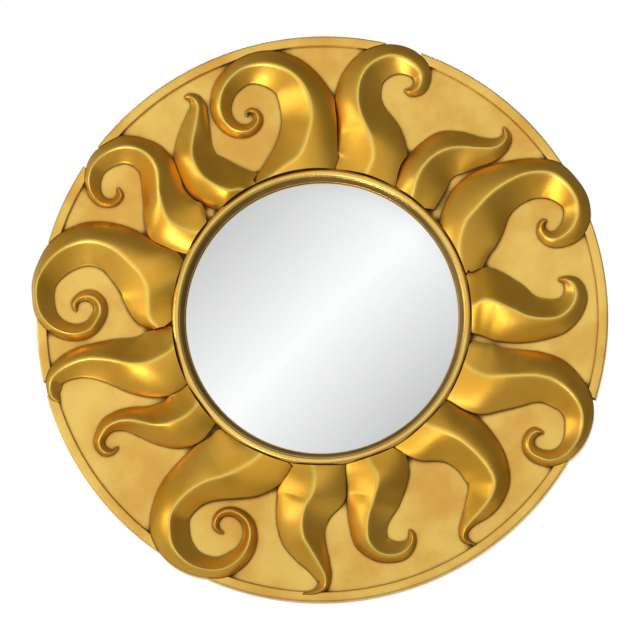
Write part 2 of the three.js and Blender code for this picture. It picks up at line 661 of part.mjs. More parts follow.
/** The D of a hanger: one bent wire whose straight side runs through the strap's eye. */
function makeDRing() {
  const { wire, half, rise } = D_RING;
  const corner = 4;
  const path = new THREE.CurvePath();
  const point = (x, z) => new THREE.Vector3(x, 0, z);
  path.add(new THREE.LineCurve3(point(-half + corner, 0), point(half - corner, 0)));
  path.add(new THREE.QuadraticBezierCurve3(point(half - corner, 0), point(half, 0), point(half, corner)));
  const bow = rise * 1.27; // a cubic reaches three quarters of the way to its inner points
  const [start, end] = [point(half, corner), point(-half, corner)];
  path.add(new THREE.CubicBezierCurve3(start, point(half, bow), point(-half, bow), end));
  path.add(new THREE.QuadraticBezierCurve3(end, point(-half, 0), point(-half + corner, 0)));
  const steps = 28;
  const sides = 6;
  const sections = Array.from({ length: steps }, (_, i) => {
    const centre = path.getPointAt(i / steps);
    const tangent = path.getTangentAt(i / steps);
    return Array.from({ length: sides }, (__, k) => {
      const angle = (2 * Math.PI * k) / sides;
      const out = wire * Math.cos(angle);
      return [centre.x + tangent.z * out, EYE_DEPTH + wire * Math.sin(angle), centre.z - tangent.x * out];
    });
  });
  const geometry = new THREE.BufferGeometry();
  const faces = [];
  for (let s = 0; s < steps; s += 1) {
    for (let k = 0; k < sides; k += 1) {
      const [s2, k2] = [(s + 1) % steps, (k + 1) % sides];
      const [a, b, c, d] = [s * sides + k, s * sides + k2, s2 * sides + k, s2 * sides + k2];
      faces.push(a, b, d, a, d, c);
    }
  }
  geometry.setAttribute('position', new THREE.Float32BufferAttribute(sections.flat(2), 3));
  geometry.setIndex(faces);
  return closed(geometry);
}

const makeBumper = () =>
  turnedSolid(
    [[0, PANEL_BACK], [BUMPER.radius, PANEL_BACK], [BUMPER.radius, -1.5], [BUMPER.radius - 1.5, 0], [0, 0]],
    16,
  );

// ---------------------------------------------------------------- assembly

const MATERIALS = {
  gilding: { color: 0xc99a3c, roughness: 0.38, metalness: 0.85 },
  paleGilding: { color: 0xd8b25c, roughness: 0.5, metalness: 0.75 },
  glass: { color: 0xd9dadc, roughness: 0.05, metalness: 1 },
  board: { color: 0x8a6f4d, roughness: 0.8, metalness: 0 },
  packing: { color: 0xcabfa6, roughness: 0.9, metalness: 0 },
  steel: { color: 0xa9a69e, roughness: 0.4, metalness: 0.9 },
  felt: { color: 0x3b3a38, roughness: 0.95, metalness: 0 },
};

const mirror = new THREE.Group();
mirror.name = 'convex_mirror';

function place(name, geometry, material, [x, z] = [0, 0], turn = 0) {
  const mesh = new THREE.Mesh(geometry, new THREE.MeshStandardMaterial(MATERIALS[material]));
  mesh.name = name;
  mesh.position.set(x, 0, z);
  mesh.rotation.y = -THREE.MathUtils.degToRad(turn);
  mirror.add(mesh);
}

const buttonPlaces = Array.from({ length: BUTTON_COUNT }, (_, i) => 30 + (360 / BUTTON_COUNT) * i);
const buttonScrews = buttonPlaces.map((degrees) => polar(BUTTON_SCREW_AT, degrees));
const hangers = [['left', -1], ['right', 1]].map(([side, sign]) => {
  return { side, at: [sign * HANGER_AT[0], HANGER_AT[1]] };
});
const strapScrews = hangers.flatMap(({ at }) => strapScrewDrops().map((drop) => [at[0], at[1] - drop]));

place('ground_panel', makePanel([...buttonScrews, ...strapScrews]), 'paleGilding');
place('sight_ring', makeSightRing(), 'gilding');
RAYS.forEach((ray) => place(ray.name, makeRay(ray), 'gilding'));

place('convex_glass', makeGlass(), 'glass');
place('packing_ring', makePackingRing(), 'packing');
place('back_board', makeBackBoard(), 'board');

buttonPlaces.forEach((degrees, i) => {
  place(`turn_button_${i + 1}`, makeTurnButton(), 'steel', buttonScrews[i], degrees + 180);
  place(`button_screw_${i + 1}`, makeScrew(2 * GAP + BUTTON_SIZE.thick), 'steel', buttonScrews[i]);
});

hangers.forEach(({ side, at }) => {
  place(`hanger_strap_${side}`, makeStrap(), 'steel', at);
  place(`d_ring_${side}`, makeDRing(), 'steel', at);
});
strapScrews.forEach((at, i) => place(`strap_screw_${i + 1}`, makeScrew(STRAP.thick), 'steel', at));

[45, 135, 225, 315].forEach((degrees, i) => {
  place(`wall_bumper_${i + 1}`, makeBumper(), 'felt', polar(FRAME_RADIUS - BUMPER.inset, degrees));
});

export default mirror;
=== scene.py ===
"""Looks of a round convex wall mirror in a carved and gilded sunburst frame.

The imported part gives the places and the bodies. Each of its pieces is built again
here from the same sizes, with the smooth curves, rounded crests and small fastener
details that the plain solids leave out, and gets its finish: gilding, silvered
glass, wood, steel or felt. Sizes are in millimetres, and meshes are made in metres.
"""

from __future__ import annotations

import logging
import math
from dataclasses import dataclass
from enum import Enum
from typing import Iterable, Sequence

import bmesh
import bpy
import numpy as np
from mathutils import Matrix, Vector, kdtree

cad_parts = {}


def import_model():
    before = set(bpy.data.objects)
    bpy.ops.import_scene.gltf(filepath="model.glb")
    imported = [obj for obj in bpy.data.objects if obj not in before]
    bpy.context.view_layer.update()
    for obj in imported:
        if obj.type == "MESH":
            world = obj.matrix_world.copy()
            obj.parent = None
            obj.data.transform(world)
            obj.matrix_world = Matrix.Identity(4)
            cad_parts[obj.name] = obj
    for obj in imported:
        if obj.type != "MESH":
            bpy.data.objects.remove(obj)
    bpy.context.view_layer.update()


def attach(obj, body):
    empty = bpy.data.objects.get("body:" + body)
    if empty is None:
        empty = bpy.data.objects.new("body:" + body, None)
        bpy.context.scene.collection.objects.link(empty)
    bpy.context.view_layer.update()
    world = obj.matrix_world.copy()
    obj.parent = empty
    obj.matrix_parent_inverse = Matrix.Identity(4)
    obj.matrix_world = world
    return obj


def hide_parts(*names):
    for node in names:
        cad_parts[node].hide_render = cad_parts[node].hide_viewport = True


log = logging.getLogger("convex_mirror")

# A millimetre in metres, the distance under which two points are one, and how far in
# millimetres a cutting tool goes past what it cuts.
MM = 0.001
TINY = 1e-6
LAP = 1.0

Pair = tuple[float, float]
Station = tuple[float, ...]
Colour = tuple[float, float, float, float]
Points = np.ndarray
Piece = bpy.types.Object
Material = bpy.types.Material
Socket = bpy.types.NodeSocket


# ---------------------------------------------------------------- sizes


@dataclass(frozen=True)
class MirrorSizes:
    """Real sizes of the mirror in millimetres, the same as in the part's source."""

    frame_radius: float = 381.0
    glass_radius: float = 190.5
    glass_sphere: float = 700.0
    glass_thick: float = 3.0
    sight_lap: float = 7.5
    ring_width: float = 17.0
    wall_gap: float = 6.5
    panel_thick: float = 20.0
    rim_raise: float = 5.0
    rim_width: float = 14.0
    ring_raise: float = 15.0
    rebate: float = 10.5
    board_thick: float = 4.0
    gap: float = 0.3
    glass_play: float = 1.0
    screw_radius: float = 1.9
    screw_depth: float = 11.0
    button_screw_out: float = 13.0
    hanger_share: Pair = (0.6877, 0.252)
    bumper_radius: float = 9.0
    bumper_inset: float = 43.0
    carving_room: float = 60.0

    @property
    def panel_back(self) -> float:
        """Plane of the panel's back."""
        return -self.wall_gap

    @property
    def ground(self) -> float:
        """Plane of the flat ground that the rays stand on."""
        return self.panel_back - self.panel_thick

    @property
    def rim_inner(self) -> float:
        """Radius at which the raised rim starts."""
        return self.frame_radius - self.rim_width

    @property
    def sight_radius(self) -> float:
        """Radius of the open part of the glass."""
        return self.glass_radius - self.sight_lap

    @property
    def ring_outer(self) -> float:
        """Outer radius of the sight ring."""
        return self.sight_radius + self.ring_width

    @property
    def opening_radius(self) -> float:
        """Radius of the hole in the panel."""
        return self.glass_radius + self.glass_play

    @property
    def board_radius(self) -> float:
        """Radius of the back board."""
        return self.opening_radius + self.rebate

    @property
    def board_front(self) -> float:
        """Plane of the back board's front."""
        return self.panel_back - self.board_thick

    @property
    def glass_edge(self) -> float:
        """Plane of the glass's front edge."""
        return self.ground + self.gap

    @property
    def over_all(self) -> float:
        """A plane in front of everything carved."""
        return self.ground - self.carving_room


@dataclass(frozen=True)
class CarvingStyle:
    """How a ray is carved: heights and softness of its crest, flanks and walls.

    Each point of `rise` is how far along the ray it is and its share of
    `crest_height`. A narrow ray is no higher than `tip_height` and `width_rise` times
    its width. A span is where along the ray, or at what turning, something changes.
    Flanks are coved by the power `cove`, and `roundness` is how full a rolled flank
    is. `crest_set` is how far the crest leans (right, up) for each millimetre of its
    height. The masks say how far the painted highlight on the crest and the glaze
    and painted shade at the foot reach.
    """

    crest_height: float = 27.0
    tip_height: float = 5.5
    width_rise: float = 0.62
    rise: tuple[Pair, ...] = (
        (0.0, 0.56), (0.07, 0.7), (0.16, 0.95), (0.28, 1.0), (0.5, 0.8), (0.75, 0.55), (1.0, 0.3),
    )
    rise_ease: float = 0.07
    wall_root: float = 9.0
    wall_free: float = 4.5
    wall_span: Pair = (0.1, 0.35)
    wall_most: float = 0.7
    belly_span: Pair = (0.2, 0.55)
    belly_roll: float = 0.5
    crest_set: Pair = (0.05, -0.145)
    crest_reach: float = 0.45
    crest_round: float = 2.6
    crest_round_share: float = 0.22
    cove: float = 1.3
    roundness: float = 0.55
    roll_span: Pair = (-0.35, 0.55)
    bend_reach: float = 58.0
    edge_ease: float = 1.1
    edge_ease_width: float = 3.2
    full_wall: float = 4.0
    full_span: float = 14.0
    lip: float = 0.9
    lip_share: float = 0.2
    arris: float = 0.35
    arris_share: float = 0.02
    crest_mask: float = 4.6
    foot_mask: float = 2.2
    rib_pitch: float = 0.42
    flank_points: int = 20
    crowding: float = 1.7


@dataclass(frozen=True)
class RayPattern:
    """The drawing of one ray, root to tip, in millimetres from the mirror's axis.

    Each station of `body` is (right, up, left width, right width). A scroll then
    coils about `eye`: each turn of `coil` is (degrees, distance from the eye, left
    width, right width) at its end. `fit_to` names the neighbours that it is cut to.
    """

    name: str
    body: tuple[Station, ...]
    fit_to: tuple[str, ...] = ()
    eye: Pair | None = None
    coil: tuple[Station, ...] = ()


RAY_PATTERNS: tuple[RayPattern, ...] = (
    RayPattern(
        "ray_a_scroll",
        (
            (-86, 180, 8, 40), (-52.5, 204, 24, 56), (-30, 221.5, 35, 57),
            (-18, 252.5, 37.5, 44.5), (-15, 279.5, 40, 37), (-24.5, 313, 39, 25.5),
            (-46, 334.5, 34, 21.5), (-76.5, 344, 29.5, 18), (-107.5, 337.5, 23, 14),
        ),
        fit_to=("ray_b_crook",),
        eye=(-98, 275.5),
        coil=(
            (61, 41, 15, 13), (90, 23, 7.5, 9.5), (82, 14, 5.5, 6.5),
            (130, 4.6, 2.2, 2.2), (120, 2.6, 1.4, 1.4),
        ),
    ),
    RayPattern(
        "ray_b_crook",
        (
            (53, 179.5, 41.5, 41.5), (61, 198.5, 41.5, 45), (68.5, 217.5, 47, 46),
            (65, 241.5, 45.5, 41.5), (52, 276.5, 33.5, 32), (48.5, 298, 31, 30),
            (52, 322.5, 25.5, 29.5), (65, 342.5, 20, 29.5), (93, 354, 15.5, 27),
            (118.5, 344.5, 16, 19), (131.5, 326.5, 15, 10.5), (128, 311, 12, 6.5),
            (117.5, 305, 6.5, 3.5), (109.5, 307, 1.2, 1.2),
        ),
        fit_to=("ray_c_flame",),
    ),
    RayPattern(
        "ray_c_flame",
        (
            (118.5, 150, 21.5, 32), (122.5, 171.5, 24, 39), (129.5, 194.5, 25.5, 43),
            (145.5, 214.5, 24, 40), (165.5, 225.5, 25.5, 37.5), (187, 230, 20, 36),
            (208.5, 229, 14, 27.5), (229.5, 229.5, 10.5, 19), (240.5, 235, 7.5, 12.5),
            (246, 243, 4.5, 7.5), (245, 251, 2, 2.5), (242, 256, 1, 1),
        ),
        fit_to=("ray_d_scroll",),
    ),
    RayPattern(
        "ray_d_scroll",
        (
            (187, 58.5, 13.5, 26), (184.5, 78, 20, 37.5), (183.5, 99, 27, 47),
            (191.5, 128.5, 34, 51.5), (207, 147.5, 40, 47.5), (224.5, 165, 37.5, 39),
            (244.5, 179.5, 29.5, 35.5),
            (267, 190.5, 22, 35), (288.5, 194.5, 18, 35), (310, 191, 17, 35),
            (328.5, 175.5, 15, 29.5), (339.5, 153, 17, 20), (339, 134, 19.5, 17),
            (331.5, 119, 20, 14), (318, 107.5, 15.5, 10),
        ),
        fit_to=("ray_e_hook",),
        eye=(303.5, 122),
        coil=((-80, 13.5, 8.5, 6), (-95, 9.5, 3.5, 2.5), (-25, 7.5, 1.2, 1.2),),
    ),
    RayPattern(
        "ray_e_hook",
        (
            (180, 24, 41, 33), (199, 16, 43, 37.5), (216.5, 23, 43, 48.5),
            (254, 10, 35, 47), (275, 1, 27.5, 38), (298, -2, 25, 29),
            (316.5, 1, 23.5, 23.5), (331.5, 14, 17.5, 19), (337, 29.5, 15, 16),
            (333, 43, 11.5, 11.5), (323.5, 49.5, 4.5, 4.5), (314, 49, 1, 1),
        ),
        fit_to=("ray_f_scroll",),
    ),
    RayPattern(
        "ray_f_scroll",
        (
            (181.5, -54.5, 29.5, 53.5), (197.5, -69.5, 37.5, 53),
            (219, -78.5, 41.5, 54), (240.5, -79, 36, 47), (264.5, -78.5, 33, 42.5),
            (288.5, -80.5, 32, 36), (308.5, -86.5, 29.5, 33), (327.5, -100, 24, 30),
            (339.5, -116.5, 21.5, 25), (345.5, -134, 16, 23.5), (344, -154.5, 12, 22),
            (334, -174, 10.5, 16), (318, -188, 10, 12), (302, -192, 10, 11.5),
        ),
        fit_to=("ray_g_flame",),
        eye=(291.5, -169),
        coil=((-35, 19, 10, 9.5), (-140, 16, 6.5, 6), (-45, 12.5, 1.2, 1.2),),
    ),
    RayPattern(
        "ray_g_flame",
        (
            (109.5, -133, 24, 45.5), (130.5, -141, 29.5, 48.5),
            (149.5, -147.5, 39, 48.5), (168, -155, 36, 43), (187, -167, 37.5, 36),
            (205.5, -184, 33.5, 33), (220.5, -202, 27.5, 35), (228.5, -221.5, 21, 34.5),
            (223, -242.5, 17.5, 31), (211, -260, 13.5, 24), (199, -273, 7.5, 15),
            (190, -285.5, 4.5, 8), (188, -296, 5, 4.5), (195, -302.5, 3, 3),
            (203, -306.5, 1, 1),
        ),
    ),
    RayPattern(
        "ray_h_hook",
        (
            (56.5, -172, 40, 26), (61, -189.5, 48, 32), (73, -212.5, 43, 41.5),
            (68.5, -243.5, 35.5, 37), (63, -262, 30, 30), (60.5, -281, 25.5, 23.5),
            (63, -300, 25, 19), (74.5, -314, 21.5, 12.5), (92, -318.5, 20, 10),
            (108, -314, 15, 10), (118.5, -302, 6, 6.5), (119.5, -290.5, 3.5, 4),
            (116, -284.5, 1, 1),
        ),
        fit_to=("ray_g_flame",),
    ),
    RayPattern(
        "ray_i_flame",
        (
            (-17.5, -181.5, 38, 30), (-11, -207, 45, 43), (-13, -234, 45, 45.5),
            (-22.5, -252.5, 38, 39.5), (-26.5, -273, 34, 34), (-24, -293, 29, 30),
            (-14.5, -312.5, 21.5, 24), (-4, -331.5, 15, 16), (4.5, -348.5, 8, 12),
            (3, -360, 5.5, 8), (-8.5, -367, 3.5, 3.5), (-24.5, -370, 1, 1),
        ),
        fit_to=("ray_h_hook", "ray_j_scroll",),
    ),
    RayPattern(
        "ray_j_scroll",
        (
            (-72.5, -170.5, 45.5, 32), (-86, -185.5, 48.5, 33),
            (-106, -199.5, 44.5, 58), (-129, -210.5, 34, 54.5),
            (-150.5, -217, 29, 48.5), (-171.5, -228, 25.5, 39), (-189, -243.5, 25, 33),
            (-200.5, -262, 25, 27), (-202, -283.5, 25.5, 27),
            (-198.5, -302.5, 25, 21.5), (-188.5, -317.5, 23, 17),
            (-173, -329.5, 19.5, 13.5), (-153, -335.5, 17, 12.5),
            (-134, -335, 15.5, 13.5), (-115.5, -326, 15, 12.5), (-102, -310, 10.5, 12),
            (-96, -290.5, 8.5, 9.5),
        ),
        fit_to=("ray_k_scroll",),
        eye=(-126, -279.5),
        coil=((68, 23, 6.5, 6.5), (70, 20, 5.5, 4.5), (62, 16, 4, 3.5), (60, 9.5, 1.2, 1.2),),
    ),
    RayPattern(
        "ray_k_scroll",
        (
            (-159.5, -100.5, 35, 29), (-169.5, -118, 36, 37), (-182.5, -130, 41.5, 35),
            (-201, -138, 37.5, 30), (-220, -141, 27.5, 27), (-238.5, -139, 20, 21.5),
            (-256, -136, 15.5, 17.5), (-272, -137.5, 12, 14), (-285.5, -144.5, 8.5, 12),
            (-293.5, -155.5, 6.5, 8.5),
        ),
        fit_to=("ray_l_flame",),
        eye=(-281.5, -166.5),
        coil=((100, 13.5, 5.5, 6), (100, 10.5, 1.2, 1.2),),
    ),
    RayPattern(
        "ray_l_flame",
        (
            (-187.5, -21, 45.5, 19), (-201, -40, 48.5, 35), (-216, -50.5, 55, 37.5),
            (-233, -57.5, 49, 37), (-253.5, -58.5, 40.5, 33.5),
            (-274.5, -55, 33.5, 29.5), (-295, -52.5, 29, 23), (-313.5, -52.5, 26, 18),
            (-332, -57.5, 22, 16), (-349.5, -67.5, 17.5, 12.5), (-360.5, -79.5, 15, 8),
            (-363, -94, 15, 4.5), (-358.5, -105, 10, 4), (-349.5, -110, 1.2, 1.2),
        ),
    ),
    RayPattern(
        "ray_m_scroll",
        (
            (-216, -15.5, 3, 28), (-230, 2, 17.5, 36), (-232, 26, 32, 38),
            (-234, 43.5, 35, 57), (-242.5, 62, 36, 56), (-257.5, 78, 34, 42),
            (-274.5, 93, 32, 35.5), (-293.5, 103, 33, 29.5), (-313.5, 106.5, 33.5, 25),
            (-335, 101.5, 33, 21), (-355, 89.5, 31, 17), (-371, 72, 28, 10.5),
            (-380.5, 51.5, 25, 7.2), (-381.5, 30, 23, 6), (-376.5, 10, 21.5, 7.5),
            (-364.5, -5.5, 17, 8), (-347, -15, 13.5, 9.5), (-328, -17.5, 11.5, 10.5),
        ),
        fit_to=("ray_l_flame", "ray_n_scroll",),
        eye=(-316, 14),
        coil=((70, 20, 8.5, 10.5), (110, 18, 6, 9.5), (85, 16.5, 4, 4.5), (40, 13, 1.2, 1.2),),
    ),
    RayPattern(
        "ray_n_scroll",
        (
            (-153, 119, 37.5, 26), (-170.5, 117, 32, 39), (-204, 132, 35, 43),
            (-218, 169, 22, 33.5), (-220, 188, 21.5, 31), (-223, 205.5, 22, 26),
            (-232, 220, 23.5, 21), (-246.5, 230, 23, 16), (-265.5, 233, 22, 15.5),
            (-283.5, 228, 21, 12), (-299, 217.5, 19.5, 10.5), (-309, 203.5, 17.5, 7.5),
            (-312, 186.5, 16, 5.5), (-308, 171.5, 12.5, 5.5),
        ),
        fit_to=("ray_o_flame",),
        eye=(-281.5, 173),
        coil=((70, 17.5, 6, 4), (83, 13, 4.5, 4), (60, 8.5, 1.2, 1.2),),
    ),
    RayPattern(
        "ray_o_flame",
        (
            (-88.5, 166, 21.5, 29), (-106, 174.5, 29.5, 25.5), (-126, 173.5, 29.5, 35),
            (-157, 190.5, 30, 36), (-167.5, 205.5, 25.5, 30.5), (-173.5, 221.5, 25, 29),
            (-174, 239, 21, 25.5), (-171.5, 258, 17, 21.5), (-168.5, 276.5, 12, 15.5),
            (-167.5, 289, 8, 11.5), (-171.5, 297, 6, 8), (-179, 301.5, 3.5, 3.5),
            (-185, 299.5, 1, 1),
        ),
        fit_to=("ray_a_scroll",),
    ),
)

# Where a scroll crosses the rim the disc follows the scroll: from and to, in degrees
# counter-clockwise from the right.
RIM_BREAKS: tuple[Pair, ...] = (
    (69.5, 77), (21, 32), (-29.5, -17), (235.5, 246.5), (192.5, 195.5), (164, 179), (142, 147),
)


# ---------------------------------------------------------------- mesh tools


def blend_steps(value: np.ndarray, low: float, high: float) -> np.ndarray:
    """Eases from 0 at `low` to 1 at `high`, with level ends."""
    part = np.clip((value - low) / (high - low), 0.0, 1.0)
    return part * part * (3.0 - 2.0 * part)


def mix_between(a: np.ndarray, b: np.ndarray, part: np.ndarray) -> np.ndarray:
    """Goes straight from a to b as part goes from 0 to 1."""
    return a + (b - a) * part


def lengths(rows: Points) -> np.ndarray:
    """Length of each row."""
    return np.linalg.norm(rows, axis=1)


def evened(values: np.ndarray, along: np.ndarray, reach: float) -> np.ndarray:
    """Evens out values over their neighbours.

    Args:
        values: One value for each place.
        along: Where the places are, in rising order.
        reach: How far away a neighbour still counts.

    Returns:
        The smoothed values.
    """
    apart = (along[:, None] - along[None, :]) / reach
    near = np.exp(-(apart**2)) * np.gradient(along)[None, :]
    return near @ values / near.sum(axis=1)


def polar(radius: float, degrees: float) -> Pair:
    """A point in the wall's plane, (right, up), counter-clockwise from the right."""
    angle = math.radians(degrees)
    return radius * math.cos(angle), radius * math.sin(angle)


def mesh_piece(name: str, points: Points, faces: Iterable[Sequence[int]]) -> Piece:
    """Makes one closed piece from points in millimetres, with its faces turned out.

    Args:
        name: The piece's name.
        points: Corner points, one row each.
        faces: Corner numbers of each face.

    Returns:
        The new object, linked to the scene.
    """
    mesh = bpy.data.meshes.new(name)
    mesh.from_pydata((np.asarray(points) * MM).tolist(), [], [list(f) for f in faces])
    sheet = bmesh.new()
    sheet.from_mesh(mesh)
    bmesh.ops.remove_doubles(sheet, verts=sheet.verts, dist=TINY)
    bmesh.ops.recalc_face_normals(sheet, faces=sheet.faces)
    sheet.to_mesh(mesh)
    sheet.free()
    piece = bpy.data.objects.new(name, mesh)
    bpy.context.scene.collection.objects.link(piece)
    return piece


def lofted(name: str, sections: Points) -> Piece:
    """Joins equal closed sections into one body, with a face over each end.

    Args:
        name: The piece's name.
        sections: Array of (section, corner, 3) in millimetres.

    Returns:
        The lofted piece.
    """
    count, size, _ = sections.shape
    row = np.arange(size)
    beyond = (row + 1) % size
    faces: list[list[int]] = []
    for low in range(0, (count - 1) * size, size):
        high = low + size
        quads = np.stack([low + row, low + beyond, high + beyond, high + row], axis=1)
        faces.extend(quads.tolist())
    faces.append(list(range(size)))
    faces.append([(count - 1) * size + k for k in reversed(range(size))])
    return mesh_piece(name, sections.reshape(-1, 3), faces)


def turned(name: str, profile: Sequence[Pair], segments: int) -> Piece:
    """Turns a profile about the mirror's axis.

    Args:
        name: The piece's name.
        profile: Points of (radius, y). One that starts and ends on the axis makes a
            solid disc, and any other one is a closed loop that makes a ring.
        segments: Number of steps round the axis.

    Returns:
        The turned piece.
    """
    loop = np.array(profile, float)
    solid = loop[0, 0] < TINY and loop[-1, 0] < TINY
    angles = 2.0 * math.pi * np.arange(segments) / segments
    size = len(loop)
    points = np.empty((segments, size, 3))
    points[:, :, 0] = np.cos(angles)[:, None] * loop[None, :, 0]
    points[:, :, 1] = loop[None, :, 1]
    points[:, :, 2] = np.sin(angles)[:, None] * loop[None, :, 0]
    faces: list[list[int]] = []
    for s in range(segments):
        low, high = s * size, ((s + 1) % segments) * size
        for k in range(size - 1 if solid else size):
            nearer, further = k, (k + 1) % size
            face = [low + nearer, low + further, high + further, high + nearer]
            if solid and k == 0:
                face = [low + nearer, low + further, high + further]
            elif solid and k == size - 2:
                face = [low + nearer, low + further, high + nearer]
            faces.append(face)
    return mesh_piece(name, points.reshape(-1, 3), faces)


def rod(name: str, radius: float, start: float, end: float, segments: int) -> Piece:
    """A round bar along the mirror's axis, from y = start to y = end."""
    return turned(name, [(0, start), (radius, start), (radius, end), (0, end)], segments)


def plate(name: str, outline: Sequence[Pair], back: float, front: float) -> Piece:
    """A flat plate of an outline of (right, up) points, from y = back to y = front."""
    rows = [[(x, y, z) for x, z in outline] for y in (back, front)]
    return lofted(name, np.array(rows, float))


def swept_wire(name: str, path: Points, radius: float, sides: int) -> Piece:
    """Bends a closed loop of round wire.

    Args:
        name: The piece's name.
        path: Points of the wire's middle, in a plane of constant y.
        radius: The wire's radius.
        sides: Number of sides of the wire.

    Returns:
        The wire.
    """
    ahead = np.roll(path, -1, axis=0) - np.roll(path, 1, axis=0)
    ahead /= lengths(ahead)[:, None]
    outward = np.stack([ahead[:, 2], np.zeros(len(path)), -ahead[:, 0]], axis=1)
    angles = 2.0 * math.pi * np.arange(sides) / sides
    points = (
        path[:, None, :]
        + radius * np.cos(angles)[None, :, None] * outward[:, None, :]
        + radius * np.sin(angles)[None, :, None] * np.array([0.0, 1.0, 0.0])
    )
    count = len(path)
    faces = []
    for s in range(count):
        low, high = s * sides, ((s + 1) % count) * sides
        for k in range(sides):
            beyond = (k + 1) % sides
            faces.append([low + k, low + beyond, high + beyond, high + k])
    return mesh_piece(name, points.reshape(-1, 3), faces)


class Carve(Enum):
    """What a tool does to a piece."""

    CUT = "DIFFERENCE"
    JOIN = "UNION"
    COMMON = "INTERSECT"


def carve(piece: Piece, how: Carve, tools: Iterable[Piece]) -> Piece:
    """Cuts, joins or crosses a piece with tools, which are used up.

    Args:
        piece: The piece that is worked on.
        how: What each tool does.
        tools: Closed pieces, applied in turn.

    Returns:
        The same piece with its new mesh.
    """
    used = list(tools)
    for tool in used:
        step = piece.modifiers.new("fit", "BOOLEAN")
        step.operation = how.value
        step.solver = "MANIFOLD"
        step.object = tool
    bpy.context.view_layer.update()
    shaped = piece.evaluated_get(bpy.context.evaluated_depsgraph_get())
    mesh = bpy.data.meshes.new_from_object(shaped)
    piece.modifiers.clear()
    old = piece.data
    piece.data = mesh
    bpy.data.meshes.remove(old)
    mesh.name = piece.name
    for tool in used:
        spare = tool.data
        bpy.data.objects.remove(tool)
        bpy.data.meshes.remove(spare)
    return piece


def rounded(piece: Piece, width: float, steps: int = 2) -> Piece:
    """Rounds a piece's sharp edges.

    Args:
        piece: The piece.
        width: Width of the rounding in millimetres.
        steps: Number of faces across it.

    Returns:
        The same piece.
    """
    flat, sharp = math.radians(1.0), math.radians(35.0)
    sheet = bmesh.new()
    sheet.from_mesh(piece.data)
    bmesh.ops.dissolve_limit(sheet, angle_limit=flat, verts=sheet.verts, edges=sheet.edges)
    edges = [e for e in sheet.edges if e.is_manifold and e.calc_face_angle(0.0) > sharp]
    bmesh.ops.bevel(
        sheet,
        geom=edges,
        offset=width * MM,
        segments=steps,
        affect="EDGES",
        profile=0.5,
        clamp_overlap=True,
    )
    bmesh.ops.triangulate(sheet, faces=[f for f in sheet.faces if len(f.verts) > 4])
    sheet.to_mesh(piece.data)
    sheet.free()
    return piece


def smoothed(piece: Piece, angle: float = 32.0) -> Piece:
    """Shades a piece smooth except over its sharp edges.

    Args:
        piece: The piece.
        angle: Degrees over which an edge is sharp.

    Returns:
        The same piece.
    """
    piece.data.shade_smooth()
    piece.data.set_sharp_from_angle(angle=math.radians(angle))
    return piece


def moved(piece: Piece, right: float, up: float, turn: float = 0.0) -> Piece:
    """Turns a piece's mesh and moves it in the wall's plane.

    Args:
        piece: The piece, made at the mirror's axis.
        right: How far it goes to the right, in millimetres.
        up: How far it goes up.
        turn: Degrees about +Y, counter-clockwise as seen from the front.

    Returns:
        The same piece.
    """
    spin = Matrix.Rotation(-math.radians(turn), 4, "Y")
    piece.data.transform(Matrix.Translation((right * MM, 0.0, up * MM)) @ spin)
    return piece


def keep_mask(piece: Piece, name: str, values: np.ndarray) -> None:
    """Keeps one number for each corner point of a piece, for its finish to read."""
    layer = piece.data.attributes.new(name, "FLOAT", "POINT")
    layer.data.foreach_set("value", np.asarray(values, np.float32))


def corner_points(piece: Piece) -> Points:
    """Reads the corner points of a piece.

    Args:
        piece: The piece.

    Returns:
        One row for each point, in millimetres.
    """
    flat = np.empty(len(piece.data.vertices) * 3, np.float32)
    piece.data.vertices.foreach_get("co", flat)
    return flat.reshape(-1, 3).astype(float) / MM


# ---------------------------------------------------------------- carved rays


@dataclass
class Ribs:
    """Fine ribs of a ray: its three lines, how far along each lies, and its turning."""

    crest: Points
    left: Points
    right: Points
    part: np.ndarray
    bend: np.ndarray


